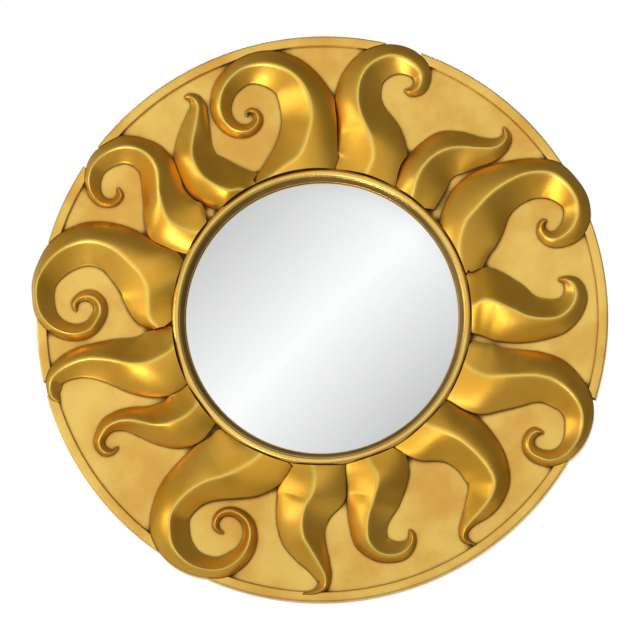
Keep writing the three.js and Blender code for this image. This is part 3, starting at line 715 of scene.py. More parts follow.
@dataclass
class CarvedRay:
    """One ray of the sunburst: carved from its drawing, and fitted to its neighbours.

    A coil's turns are split into steps of `coil_step` degrees. The ribs of a cutting
    tool have their own wider `tool_pitch`, and stand about `tool_step` mm apart.
    """

    pattern: RayPattern
    sizes: MirrorSizes
    style: CarvingStyle
    coil_step: float = 30.0
    tool_pitch: float = 1.0
    tool_step: float = 1.5

    def stations(self) -> list[Station]:
        """Puts the coil's stations after the body's, closing in evenly.

        Returns:
            Each station as (right, up, left width, right width).
        """
        stations = [tuple(float(v) for v in s) for s in self.pattern.body]
        if self.pattern.eye is None:
            return stations
        eye_x, eye_z = self.pattern.eye
        last_x, last_z, left, right = stations[-1]
        radius = math.hypot(last_x - eye_x, last_z - eye_z)
        angle = math.degrees(math.atan2(last_z - eye_z, last_x - eye_x))
        for sweep, end_radius, end_left, end_right in self.pattern.coil:
            steps = max(1, math.floor(abs(sweep) / self.coil_step + 0.5))
            for step in range(1, steps + 1):
                part = step / steps
                dx, dz = polar(radius * (end_radius / radius) ** part, angle + sweep * part)
                widths = (left * (end_left / left) ** part, right * (end_right / right) ** part)
                stations.append((eye_x + dx, eye_z + dz, *widths))
            radius, left, right = end_radius, end_left, end_right
            angle += sweep
        return stations

    def control_lines(self, widen: float) -> Points:
        """Lays out the crest and both edges.

        Args:
            widen: Extra width on both sides.

        Returns:
            A row of (crest, left, right) for each station, two numbers each.
        """
        table = np.array(self.stations())
        centre = table[:, :2]
        ahead = np.vstack([centre[1:], centre[-1:]]) - np.vstack([centre[:1], centre[:-1]])
        ahead /= lengths(ahead)[:, None]
        aside = np.stack([-ahead[:, 1], ahead[:, 0]], axis=1)
        left = centre + aside * (table[:, 2:3] + widen)
        right = centre - aside * (table[:, 3:4] + widen)
        return np.hstack([centre, left, right])

    def ribs(self, widen: float = 0.0, pitch: float | None = None) -> Ribs:
        """Ribs on one centripetal spline through the control points of all three lines.

        Args:
            widen: Extra width on both sides, for a tool that cuts a clearance.
            pitch: Spacing of the ribs, in square roots of a millimetre.

        Returns:
            The fine ribs, root to tip.
        """
        lines = self.control_lines(widen)
        points = np.vstack([2 * lines[0] - lines[1], lines, 2 * lines[-1] - lines[-2]])
        chords = lengths(np.diff(points[:, :2], axis=0))
        knots = np.concatenate([[0.0], np.cumsum(np.sqrt(chords))])
        start, end = knots[1], knots[-2]
        count = max(2, round((end - start) / (pitch or self.style.rib_pitch)))
        at = np.linspace(start, end, count + 1)
        span = np.clip(np.searchsorted(knots, at, side="left") - 1, 1, len(knots) - 3)
        p = [points[span + k] for k in (-1, 0, 1, 2)]
        t = [knots[span + k][:, None] for k in (-1, 0, 1, 2)]
        here = at[:, None]

        def between(a: Points, b: Points, low: Points, high: Points) -> Points:
            """Goes from a at knot low to b at knot high."""
            return ((high - here) * a + (here - low) * b) / (high - low)

        first = between(p[0], p[1], t[0], t[1])
        second = between(p[1], p[2], t[1], t[2])
        third = between(p[2], p[3], t[2], t[3])
        before = between(first, second, t[0], t[2])
        rib = between(before, between(second, third, t[1], t[3]), t[1], t[2])
        along = np.concatenate([[0.0], np.cumsum(lengths(np.diff(rib[:, :2], axis=0)))])
        heading = np.unwrap(np.arctan2(*np.gradient(rib[:, :2], axis=0).T[::-1]))
        bend = evened(np.gradient(heading, along, edge_order=1), along, self.style.bend_reach)
        return Ribs(rib[:, :2], rib[:, 2:4], rib[:, 4:6], along / along[-1], bend)

    def crest_heights(self, ribs: Ribs) -> tuple[np.ndarray, np.ndarray, np.ndarray]:
        """Says how high the ray is carved.

        Args:
            ribs: The ray's ribs.

        Returns:
            At each rib, the heights of the crest and the side wall, and how far the
            root's belly swells, from 0 to 1.
        """
        style = self.style
        places = np.array(style.rise)
        rise = np.interp(ribs.part, places[:, 0], places[:, 1])
        rise = evened(rise, ribs.part, style.rise_ease)
        widths = lengths(ribs.left - ribs.crest) + lengths(ribs.right - ribs.crest)
        limit = style.tip_height + style.width_rise * widths
        height = np.minimum(style.crest_height * rise, limit)
        free = blend_steps(ribs.part, *style.wall_span)
        wall = mix_between(style.wall_root, style.wall_free, free)
        belly = 1.0 - blend_steps(ribs.part, *style.belly_span)
        return height, np.minimum(wall, style.wall_most * height), belly

    def sections(self, ribs: Ribs) -> tuple[Points, np.ndarray, np.ndarray]:
        """Closed sections of the carved ray, with masks of its crest and its foot.

        Args:
            ribs: The ray's ribs.

        Returns:
            Points of (rib, corner, 3), and for each of them how near it is to the
            crest and to the foot of the side wall, from 0 to 1.
        """
        style = self.style
        height, wall, belly = self.crest_heights(ribs)
        sides = {-1: ribs.left, 1: ribs.right}
        width = {s: lengths(edge - ribs.crest) for s, edge in sides.items()}
        narrow = np.minimum(width[-1], width[1])
        turning = ribs.bend * (width[-1] + width[1])
        roll = {
            s: np.maximum(style.belly_roll * belly, blend_steps(s * turning, *style.roll_span))
            for s in sides
        }

        def surface(offset: np.ndarray) -> np.ndarray:
            """Works out the carving's face, which coves or rolls down from the crest.

            Args:
                offset: Distance of each point from the crest, left negative.

            Returns:
                Its height over the ground.
            """
            side = np.where(offset < 0, -1, 1)
            span = np.where(side < 0, width[-1][:, None], width[1][:, None])
            turn = np.where(side < 0, roll[-1][:, None], roll[1][:, None])
            u = np.clip(1.0 - np.abs(offset) / span, 0.0, 1.0)
            convex = mix_between(u, 1.0 - (1.0 - u) ** 2, style.roundness)
            shape = mix_between(u**style.cove, convex, turn)
            ease = style.edge_ease * np.exp(-u * span / style.edge_ease_width)
            ease = ease * np.minimum(1.0, wall[:, None] / style.full_wall)
            ease = ease * np.minimum(1.0, span / style.full_span)
            return wall[:, None] - ease + (height - wall)[:, None] * shape

        # The crest is rounded by an average over offsets, each with its weight.
        kernel = ((-1.0, 1.0), (-0.5, 2.0), (0.0, 3.0), (0.5, 2.0), (1.0, 1.0))
        total = sum(weight for _, weight in kernel)
        soft = np.minimum(style.crest_round, style.crest_round_share * narrow)[:, None]
        # Points crowd towards the crest and the edge.
        t = np.linspace(0.0, 1.0, style.flank_points)
        away = 0.5 * t**style.crowding + 0.25 * (1.0 - np.cos(math.pi * t))
        limit = style.crest_reach * narrow / np.linalg.norm(style.crest_set)
        top = ribs.crest + np.minimum(height, limit)[:, None] * np.array(style.crest_set)

        def flank(side: int) -> tuple[Points, np.ndarray, np.ndarray]:
            """Carves one flank, from the crest out to the foot of its wall.

            Args:
                side: -1 for the left and 1 for the right.

            Returns:
                Its points, and how near each is to the crest and to the foot.
            """
            span = width[side][:, None]
            share = np.broadcast_to(away, (len(height), len(away))).copy()
            share[:, -1] = 1.0 - np.minimum(style.arris_share, style.arris / width[side])
            rise = sum(w * surface(side * share * span + d * soft) for d, w in kernel) / total
            low = rise[:, -1:] - np.minimum(style.lip, style.lip_share * wall)[:, None]
            share = np.hstack([share, np.ones((len(height), 2))])
            rise = np.hstack([rise, low, np.zeros_like(low)])
            plan = mix_between(top[:, None, :], sides[side][:, None, :], share[:, :, None])
            points = np.stack([plan[:, :, 0], self.sizes.ground - rise, plan[:, :, 1]], axis=2)
            crest = np.exp(-((share * span / style.crest_mask) ** 2))
            foot = np.exp(-np.maximum(span - share * span, 0.0) / style.foot_mask)
            foot[:, -1] = 1.0
            return points, crest, foot

        points, crest, foot = (
            np.concatenate([left[:, ::-1], right[:, 1:]], axis=1)
            for left, right in zip(flank(-1), flank(1))
        )
        return points, crest, foot

    def outline_prism(self, widen: float, back: float, front: float) -> Piece:
        """Makes an upright prism over the ray's outline, as a cutting tool.

        Args:
            widen: How much wider than the ray it is, all round.
            back: Where it starts, as y.
            front: Where it ends.

        Returns:
            The prism.
        """
        ribs = self.ribs(widen, self.tool_pitch)
        left, right = ribs.left, ribs.right
        if widen > 0:
            out = widen / self.tool_step
            left, right = (
                np.vstack([
                    line[0] + out * (line[0] - line[1]),
                    line,
                    line[-1] + out * (line[-1] - line[-2]),
                ])
                for line in (left, right)
            )
        corners = [(left, back), (left, front), (right, front), (right, back)]
        rows = [np.stack([s[:, 0], np.full(len(s), y), s[:, 1]], axis=1) for s, y in corners]
        return lofted(f"tool_{self.pattern.name}", np.stack(rows, axis=1))

    @property
    def piece_name(self) -> str:
        """Name of the carved piece that stands for the CAD node."""
        return self.pattern.name.replace("ray_", "carved_")

    def build(self, rays: dict[str, CarvedRay]) -> Piece:
        """Carves the ray, and fits it round the sight ring and to its neighbours.

        Args:
            rays: All rays by name.

        Returns:
            The finished piece with its crest and foot masks.
        """
        points, crest, foot = self.sections(self.ribs())
        piece = lofted(self.piece_name, points)
        gap, under, over = self.sizes.gap, self.sizes.ground + LAP, self.sizes.over_all
        ring = rod("tool_ring", self.sizes.ring_outer + gap, under, over, 256)
        tools = [rays[name].outline_prism(gap, under, over) for name in self.pattern.fit_to]
        carve(piece, Carve.CUT, [ring, *tools])
        # The cuts make new corner points, and each takes the masks of the nearest old one.
        tree = kdtree.KDTree(points.shape[0] * points.shape[1])
        for number, point in enumerate(points.reshape(-1, 3)):
            tree.insert(point, number)
        tree.balance()
        nearest = np.array([tree.find(p)[1] for p in corner_points(piece)])
        # The crest mask carries a painted highlight, and the foot mask glaze and painted shade.
        keep_mask(piece, "crest", crest.reshape(-1)[nearest])
        keep_mask(piece, "foot", foot.reshape(-1)[nearest])
        return smoothed(piece, 38.0)


# ---------------------------------------------------------------- sub-assemblies


class Body(Enum):
    """Names of the CAD bodies that pieces ride on."""

    FRAME = "frame"
    BUTTON = "turn_button_{}"
    D_RING = "d_ring_{}"


class Slot(Enum):
    """The record's material slots."""

    GROUND = "ground_gilding"
    BURNISHED = "burnished_gilding"
    CARVED = "carved_gilding"
    GLASS = "mirror_glass"
    PACKING = "packing"
    BOARD = "board"
    STEEL = "steel"
    SCREW = "screw_steel"
    FELT = "felt"


def dressed(
    piece: Piece, finish: Material, node: str, body: str = Body.FRAME.value
) -> Piece:
    """Gives a piece its finish and its body, and lets it stand for its CAD node.

    Args:
        piece: The finished mesh piece.
        finish: Its material.
        node: The CAD node that it stands for.
        body: The CAD body that it moves with.

    Returns:
        The same piece.
    """
    piece.data.materials.clear()
    piece.data.materials.append(finish)
    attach(piece, body)
    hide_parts(node)
    log.info("%s: %d faces, stands for %s on %s", piece.name, len(piece.data.polygons), node, body)
    return piece


@dataclass
class CarvedBorder:
    """The fifteen carved rays of the border."""

    sizes: MirrorSizes
    style: CarvingStyle
    patterns: tuple[RayPattern, ...]

    def rays(self) -> dict[str, CarvedRay]:
        """All rays by the name of their CAD node."""
        return {p.name: CarvedRay(p, self.sizes, self.style) for p in self.patterns}

    def build(self, finish: Material) -> None:
        """Carves every ray and dresses it.

        Args:
            finish: The carved gilding.
        """
        rays = self.rays()
        for name, ray in rays.items():
            dressed(ray.build(rays), finish, name)


@dataclass
class GroundPanel:
    """The disc that everything is built on: its flat ground, raised rim and back.

    Each point of `inner_step` and `outer_step` is how far it lies from the rim's
    edge and behind the rim's front, and each of `back_edge` how far it lies from the
    disc's edge and before its back.
    """

    sizes: MirrorSizes
    rim_breaks: tuple[Pair, ...]
    sides: int = 360
    inner_step: tuple[Pair, ...] = ((0.3, 4.5), (1.0, 0.9), (1.7, 0.25), (2.8, 0.0))
    outer_step: tuple[Pair, ...] = ((2.4, 0.0), (1.1, 0.25), (0.3, 0.9), (0.0, 1.9))
    back_edge: tuple[Pair, ...] = ((0.0, 2.2), (0.6, 0.6), (2.2, 0.0))
    board_play: float = 1.0
    past_edge: float = 20.0
    near_rim: float = 4.0
    crossing_pitch: float = 3.0

    def rim_block(self, span: Pair) -> Piece:
        """Makes a tool that takes the rim away where a scroll is the disc's edge.

        Args:
            span: From and to, in degrees.

        Returns:
            A block over the rim.
        """
        start, end = span
        angles = np.linspace(start, end, max(6, int(end - start) * 2))
        outer = [polar(self.sizes.frame_radius + self.past_edge, a) for a in angles]
        inner = [polar(self.sizes.rim_inner - LAP, a) for a in reversed(angles)]
        return plate("tool_rim", outer + inner, 0.0, self.sizes.over_all)

    def crossing(self, rays: dict[str, CarvedRay]) -> list[CarvedRay]:
        """Finds the rays that reach over the rim.

        Args:
            rays: All rays by name.

        Returns:
            Those whose edges come within `near_rim` of the rim, or cross it.
        """

        def reach(ray: CarvedRay) -> float:
            """How far a ray goes from the mirror's axis."""
            ribs = ray.ribs(pitch=self.crossing_pitch)
            return max(lengths(line).max() for line in (ribs.left, ribs.right))

        limit = self.sizes.rim_inner - self.near_rim
        return [ray for ray in rays.values() if reach(ray) > limit]

    def disc(self) -> Piece:
        """Turns the disc with its rim and the rebate for the back board.

        Returns:
            The disc.
        """
        s = self.sizes
        rim_front, rebate = s.ground - s.rim_raise, s.board_radius + self.board_play
        profile = [
            (s.opening_radius, s.board_front),
            (s.opening_radius, s.ground),
            (s.rim_inner, s.ground),
            *((s.rim_inner + out, rim_front + down) for out, down in self.inner_step),
            *((s.frame_radius - inwards, rim_front + down) for inwards, down in self.outer_step),
            *((s.frame_radius - inwards, s.panel_back - up) for inwards, up in self.back_edge),
            (rebate, s.panel_back),
            (rebate, s.board_front),
        ]
        return turned("gilded_panel", profile, self.sides)

    def screw_hole(self, right: float, up: float) -> Piece:
        """Makes a cutting tool for one screw's clearance hole in the back.

        Args:
            right: How far right of the mirror's axis the screw is.
            up: How far above it.

        Returns:
            The tool.
        """
        s = self.sizes
        end = s.panel_back - s.screw_depth - LAP
        hole = rod("tool_hole", s.screw_radius + s.gap, s.panel_back + LAP, end, 20)
        return moved(hole, right, up)

    def bare_back(self, panel: Piece, bare_wood: Material) -> None:
        """Leaves the back, the rebate and the opening's wall as bare wood.

        Args:
            panel: The panel.
            bare_wood: The finish of those faces.
        """
        s = self.sizes
        panel.data.materials.append(bare_wood)
        back = -(s.wall_gap + s.gap) * MM
        rebate = (s.board_radius + 1.5 * self.board_play) * MM
        for face in panel.data.polygons:
            inside = math.hypot(face.center.x, face.center.z) < rebate
            upright = abs(face.normal.y) < 0.5
            if face.center.y > back or face.normal.y > 0.3 or (inside and upright):
                face.material_index = 1

    def build(
        self,
        rays: dict[str, CarvedRay],
        screws: Sequence[Pair],
        gilding: Material,
        bare_wood: Material,
    ) -> None:
        """Makes the panel, whose edge follows each scroll that crosses the rim.

        Args:
            rays: All rays by name.
            screws: Where screws go into its back.
            gilding: Finish of its front and edge.
            bare_wood: Finish of its back.
        """
        s = self.sizes
        crossing = self.crossing(rays)
        panel = self.disc()
        carve(panel, Carve.CUT, [self.rim_block(span) for span in self.rim_breaks])
        tools = [ray.outline_prism(s.gap, s.ground, s.over_all) for ray in crossing]
        carve(panel, Carve.CUT, tools)
        inner, outer = s.rim_inner - 2 * LAP, s.frame_radius + self.past_edge
        loop = [(inner, 0), (inner, s.over_all), (outer, s.over_all), (outer, 0)]
        for ray in crossing:
            lip = ray.outline_prism(0.0, s.panel_back, s.ground)
            carve(lip, Carve.COMMON, [turned("tool_band", loop, self.sides)])
            carve(panel, Carve.JOIN, [lip])
        carve(panel, Carve.CUT, [self.screw_hole(*place) for place in screws])
        dressed(smoothed(panel, 30.0), gilding, "ground_panel")
        self.bare_back(panel, bare_wood)


@dataclass
class SightRing:
    """The turned ring round the glass: bead, quirk, rounded band and inner bevel.

    Each point of `band` is how far it lies inside the ring's outer edge and behind
    its front, each of `quirk` how far outside the opening and behind the front, and
    each of `bevel` how far outside the opening and before the panel's ground.
    """

    sizes: MirrorSizes
    sides: int = 360
    band: tuple[Pair, ...] = (
        (0.0, 4.8), (0.5, 3.1), (1.5, 1.7), (3.0, 0.7), (4.8, 0.15), (6.4, 0.0),
    )
    quirk: tuple[Pair, ...] = ((9.2, 0.12), (7.9, 0.6), (6.9, 1.5), (6.3, 2.8))
    bevel: tuple[Pair, ...] = ((1.2, 5.9), (0.5, 5.5), (0.0, 4.9), (0.0, 3.0))
    # Radii of the bevel's band that gets the darker gilding, a painted shade.
    shaded_from: float = 0.6
    shaded_to: float = 5.9

    def profile(self) -> list[Pair]:
        """Draws the moulding.

        Returns:
            Its profile of (radius, y), from the opening outwards and round.
        """
        s = self.sizes
        front = s.ground - s.ring_raise
        return [
            (s.opening_radius, s.ground),
            (s.ring_outer, s.ground),
            *((s.ring_outer - inwards, front + down) for inwards, down in self.band),
            *((s.sight_radius + out, front + down) for out, down in self.quirk),
            *((s.sight_radius + out, s.ground - up) for out, up in self.bevel),
        ]

    def build(self, finish: Material, shaded_bevel: Material) -> None:
        """Turns the ring and dresses it.

        Args:
            finish: Finish of the bead and the band.
            shaded_bevel: Darker copy of the gilding on the bevel, a painted shade.
        """
        ring = smoothed(turned("moulded_ring", self.profile(), self.sides), 40.0)
        dressed(ring, finish, "sight_ring")
        ring.data.materials.append(shaded_bevel)
        # The bevel's band takes the darker copy of the gilding: painted shade.
        near = (self.sizes.sight_radius + self.shaded_from) * MM
        far = (self.sizes.sight_radius + self.shaded_to) * MM
        for face in ring.data.polygons:
            face.material_index = int(near < math.hypot(face.center.x, face.center.z) < far)


@dataclass
class ConvexGlass:
    """The silvered glass, ground to part of a sphere, and the felt ring behind it."""

    sizes: MirrorSizes
    rings: int = 56
    sides: int = 256
    edge_width: float = 0.8
    edge_front: float = 0.7
    edge_back: float = 0.4
    packing_width: float = 8.0
    packing_ease: float = 0.5

    def surface(self, radius: float) -> float:
        """Works out the glass's front.

        Args:
            radius: Distance from the axis.

        Returns:
            Its plane there, as y.
        """
        s = self.sizes
        sphere = s.glass_sphere
        drop = sphere - math.sqrt(sphere**2 - radius**2)
        edge = sphere - math.sqrt(sphere**2 - s.glass_radius**2)
        return s.glass_edge - edge + drop

    def glass(self) -> Piece:
        """Grinds the glass, with an eased edge.

        Returns:
            The glass.
        """
        s = self.sizes
        radii = np.linspace(0.0, s.glass_radius - self.edge_width, self.rings)
        front = [(r, self.surface(r)) for r in radii]
        at_edge = self.surface(s.glass_radius)
        edge = [
            (s.glass_radius, at_edge + self.edge_front),
            (s.glass_radius, at_edge + s.glass_thick - self.edge_back),
        ]
        back = [(r, self.surface(r) + s.glass_thick) for r in reversed(radii)]
        return smoothed(turned("silvered_glass", front + edge + back, self.sides), 30.0)

    def packing(self) -> Piece:
        """Cuts the felt ring between the glass and the back board.

        Returns:
            The ring.
        """
        s = self.sizes
        start, end = s.glass_edge + s.glass_thick + s.gap, s.board_front
        inner, outer, ease = s.glass_radius - self.packing_width, s.glass_radius, self.packing_ease
        loop = [
            (inner, start + ease),
            (inner + ease, start),
            (outer - ease, start),
            (outer, start + ease),
            (outer, end),
            (inner, end),
        ]
        return smoothed(turned("felt_packing", loop, 128))

    def build(self, silver: Material, felt: Material) -> None:
        """Makes the glass and its packing."""
        dressed(self.glass(), silver, "convex_glass")
        dressed(self.packing(), felt, "packing_ring")


@dataclass
class ScrewShape:
    """A pan-head wood screw with a slotted head and a grooved shank.

    Each point of `head` is its share of the head's radius and how far it lies below
    the top.
    """

    sizes: MirrorSizes
    head_high: float = 1.5
    slot_wide: float = 0.9
    slot_deep: float = 0.8
    pitch: float = 1.1
    groove: float = 0.28
    plain: float = 3.4
    point: float = 2.6
    head: tuple[Pair, ...] = ((0.0, 0.0), (0.42, 0.05), (0.66, 0.2), (0.86, 0.5), (0.97, 0.95))

    def make(self, name: str, under: float, place: Pair, turn: float) -> Piece:
        """Makes a screw that holds something `under` mm thick to the panel's back.

        Args:
            name: The piece's name.
            under: Thickness of what it holds.
            place: (right, up) of its axis.
            turn: Angle of its slot in degrees.

        Returns:
            The screw.
        """
        s = self.sizes
        seat, end = s.panel_back + under, s.panel_back - s.screw_depth
        top, wide = seat + self.head_high, s.screw_radius * 2
        shank, core = s.screw_radius, s.screw_radius - self.groove
        profile = [(wide * share, top - down) for share, down in self.head]
        profile += [(wide, seat + 0.2), (wide - 0.15, seat), (shank, seat)]
        for k in range(int((seat - end - self.plain) / self.pitch)):
            y = seat - 0.5 - k * self.pitch
            profile += [(core, y - 0.3 * self.pitch), (shank, y - 0.65 * self.pitch)]
        profile += [(core, end + self.point), (0, end)]
        screw = turned(name, profile, 28)
        long, half = wide + LAP, self.slot_wide / 2
        outline = [(-long, -half), (long, -half), (long, half), (-long, half)]
        slot = plate("tool_slot", outline, top + LAP, top - self.slot_deep)
        carve(screw, Carve.CUT, [slot])
        return moved(smoothed(screw, 30.0), *place, turn)


@dataclass
class BackBoard:
    """The board behind the glass, with its turn buttons and their screws."""

    sizes: MirrorSizes
    button_count: int = 6
    first_angle: float = 30.0
    length: float = 44.0
    width: float = 15.0
    thick: float = 2.4
    screw_at: float = 12.0
    hole: float = 2.4
    worn_edge: float = 0.45
    front_ease: float = 0.6
    back_ease: float = 1.0

    def button_angles(self) -> list[float]:
        """Where the buttons are, in degrees."""
        step = 360 / self.button_count
        return [self.first_angle + step * i for i in range(self.button_count)]

    def screw_places(self) -> list[Pair]:
        """Where the buttons' screws are."""
        reach = self.sizes.board_radius + self.sizes.button_screw_out
        return [polar(reach, a) for a in self.button_angles()]

    def button(self, name: str) -> Piece:
        """Stamps one turn button, round at both ends, with a softly worn edge.

        Args:
            name: The piece's name.

        Returns:
            The button, with its hole on the mirror's axis.
        """
        half = self.width / 2
        far, near = self.length - self.screw_at - half, half - self.screw_at
        outline = []
        for centre, start in ((far, -90.0), (near, 90.0)):
            for angle in np.linspace(start, start + 180, 25):
                dx, dz = polar(half, angle)
                outline.append((centre + dx, dz))
        front = self.sizes.panel_back + self.sizes.gap
        piece = plate(name, outline, front + self.thick, front)
        carve(piece, Carve.CUT, [rod("tool_hole", self.hole, front - LAP, front + 4 * LAP, 40)])
        return smoothed(rounded(piece, self.worn_edge, steps=3), 40.0)

    def board(self) -> Piece:
        """Cuts the board, with eased edges.

        Returns:
            The board.
        """
        front, back, rim = self.sizes.board_front, self.sizes.panel_back, self.sizes.board_radius
        profile = [(0, front), (rim - self.front_ease, front), (rim, front + self.front_ease)]
        profile += [(rim, back - self.back_ease), (rim - self.back_ease, back), (0, back)]
        return smoothed(turned("back_panel_board", profile, 180), 20.0)

    def build(self, wood: Material, steel: Material, screw_steel: Material) -> None:
        """Makes the board, the buttons that each ride on their own body, and screws.

        Args:
            wood: Finish of the board.
            steel: Finish of the buttons.
            screw_steel: Finish of the screws.
        """
        s = self.sizes
        dressed(self.board(), wood, "back_board")
        for i, (angle, place) in enumerate(zip(self.button_angles(), self.screw_places()), 1):
            button = moved(self.button(f"stamped_button_{i}"), *place, angle + 180)
            dressed(button, steel, f"turn_button_{i}", Body.BUTTON.value.format(i))
            under = 2 * s.gap + self.thick
            screw = ScrewShape(s).make(f"slotted_screw_{i}", under, place, 25 + 67 * i)
            dressed(screw, screw_steel, f"button_screw_{i}")


@dataclass
class Hangers:
    """Two screwed straps with rolled eyes, and the D rings that swing in them."""

    sizes: MirrorSizes
    width: float = 18.0
    length: float = 46.0
    thick: float = 1.5
    corner: float = 3.0
    shoulder: tuple[Pair, ...] = ((0.0, 7.4), (0.6, 6.4))
    neck_drop: float = 3.0
    pressed_edge: float = 0.25
    eye: float = 3.0
    eye_lift: float = 0.2
    bore: float = 2.0
    eye_width: float = 12.0
    wire: float = 1.4
    half: float = 13.0
    rise: float = 24.0
    ring_corner: float = 4.0
    bow: float = 1.27
    drops: Pair = (14.0, 36.0)

    @property
    def eye_depth(self) -> float:
        """Plane of the eye's axis, as y."""
        return self.sizes.panel_back + self.eye + self.eye_lift

    def places(self) -> dict[str, Pair]:
        """Centre of each hanger's eye."""
        right, up = (share * self.sizes.frame_radius for share in self.sizes.hanger_share)
        return {"left": (-right, up), "right": (right, up)}

    def screw_places(self) -> list[Pair]:
        """Where the straps' screws are."""
        return [(x, z - drop) for x, z in self.places().values() for drop in self.drops]

    def across(self, name: str, radius: float, long: float) -> Piece:
        """Makes a round bar from left to right through the eye's centre.

        Args:
            name: The bar's name.
            radius: Its radius.
            long: Its length.

        Returns:
            The bar.
        """
        bar = rod(name, radius, -long / 2, long / 2, 40)
        bar.data.transform(Matrix.Rotation(math.pi / 2, 4, "Z"))
        bar.data.transform(Matrix.Translation((0.0, self.eye_depth * MM, 0.0)))
        return bar

    def strap(self, name: str) -> Piece:
        """Presses a strap: a plate with a rounded foot, two holes and a rolled eye.

        Args:
            name: The piece's name.

        Returns:
            The strap, with its eye over the mirror's axis.
        """
        s = self.sizes
        half, neck, corner = self.width / 2, self.eye_width / 2, self.corner
        outline = [(neck, 0.0), (-neck, 0.0), (-neck, -self.neck_drop)]
        outline += [(-half + inwards, -down) for inwards, down in reversed(self.shoulder)]
        for centre, start in ((-half + corner, 180.0), (half - corner, 270.0)):
            for angle in np.linspace(start, start + 90, 9):
                dx, dz = polar(corner, angle)
                outline.append((centre + dx, -self.length + corner + dz))
        outline += [(half - inwards, -down) for inwards, down in self.shoulder]
        outline.append((neck, -self.neck_drop))
        strap = plate(name, outline, s.panel_back + self.thick, s.panel_back)
        carve(strap, Carve.JOIN, [self.across("tool_roll", self.eye, self.eye_width)])
        tools = [self.across("tool_bore", self.bore, self.eye_width + 4 * LAP)]
        for drop in self.drops:
            hole = rod("tool_hole", s.screw_radius + s.gap, -12, 0, 32)
            tools.append(moved(hole, 0.0, -drop))
        carve(strap, Carve.CUT, tools)
        return smoothed(rounded(strap, self.pressed_edge), 40.0)

    def d_ring(self, name: str) -> Piece:
        """Bends the D: one wire whose straight side runs through the strap's eye.

        Args:
            name: The piece's name.

        Returns:
            The ring, with its straight side over the mirror's axis.
        """

        def arc(points: Sequence[Pair], steps: int) -> list[Pair]:
            """Draws a Bezier curve.

            Args:
                points: Its control points.
                steps: How many points it gets.

            Returns:
                Points of the curve, without its last one.
            """
            rows = []
            for t in np.arange(steps) / steps:
                line = [np.array(p, float) for p in points]
                while len(line) > 1:
                    line = [a + (b - a) * t for a, b in zip(line, line[1:])]
                rows.append(tuple(line[0]))
            return rows

        half, corner, bow = self.half, self.ring_corner, self.rise * self.bow
        plan = arc([(-half + corner, 0), (half - corner, 0)], 10)
        plan += arc([(half - corner, 0), (half, 0), (half, corner)], 12)
        plan += arc([(half, corner), (half, bow), (-half, bow), (-half, corner)], 56)
        plan += arc([(-half, corner), (-half, 0), (-half + corner, 0)], 12)
        path = np.array([(x, self.eye_depth, z) for x, z in plan])
        return smoothed(swept_wire(name, path, self.wire, 16), 60.0)

    def build(self, steel: Material, screw_steel: Material) -> None:
        """Makes both hangers, whose D rings each ride on their own body.

        Args:
            steel: Finish of the straps and the rings.
            screw_steel: Finish of the screws.
        """
        for side, place in self.places().items():
            strap = moved(self.strap(f"pressed_strap_{side}"), *place)
            dressed(strap, steel, f"hanger_strap_{side}")
            ring = moved(self.d_ring(f"wire_ring_{side}"), *place)
            dressed(ring, steel, f"d_ring_{side}", Body.D_RING.value.format(side))
        for i, place in enumerate(self.screw_places(), 1):
            screw = ScrewShape(self.sizes).make(f"strap_fixing_{i}", self.thick, place, 15 + 49 * i)
            dressed(screw, screw_steel, f"strap_screw_{i}")


@dataclass
class WallBumpers:
    """Four felt discs that keep the frame off the wall.

    Each point of `face` is how far it lies inside the disc's edge and from the wall.
    """

    sizes: MirrorSizes
    angles: tuple[float, ...] = (45, 135, 225, 315)
    face: tuple[Pair, ...] = ((0.0, 2.0), (0.3, 1.1), (0.9, 0.45), (1.8, 0.1), (3.0, 0.0))

    def build(self, felt: Material) -> None:
        """Makes each disc with a cut edge and a softly rounded face.

        Args:
            felt: Finish of the discs.
        """
        s = self.sizes
        r, back = s.bumper_radius, s.panel_back
        face = [(r - inwards, -off) for inwards, off in self.face]
        profile = [(0, back), (r, back), *face, (0, 0)]
        for i, angle in enumerate(self.angles, 1):
            disc = turned(f"felt_pad_{i}", profile, 64)
            moved(smoothed(disc, 50.0), *polar(s.frame_radius - s.bumper_inset, angle))
            dressed(disc, felt, f"wall_bumper_{i}")


# ---------------------------------------------------------------- finishes


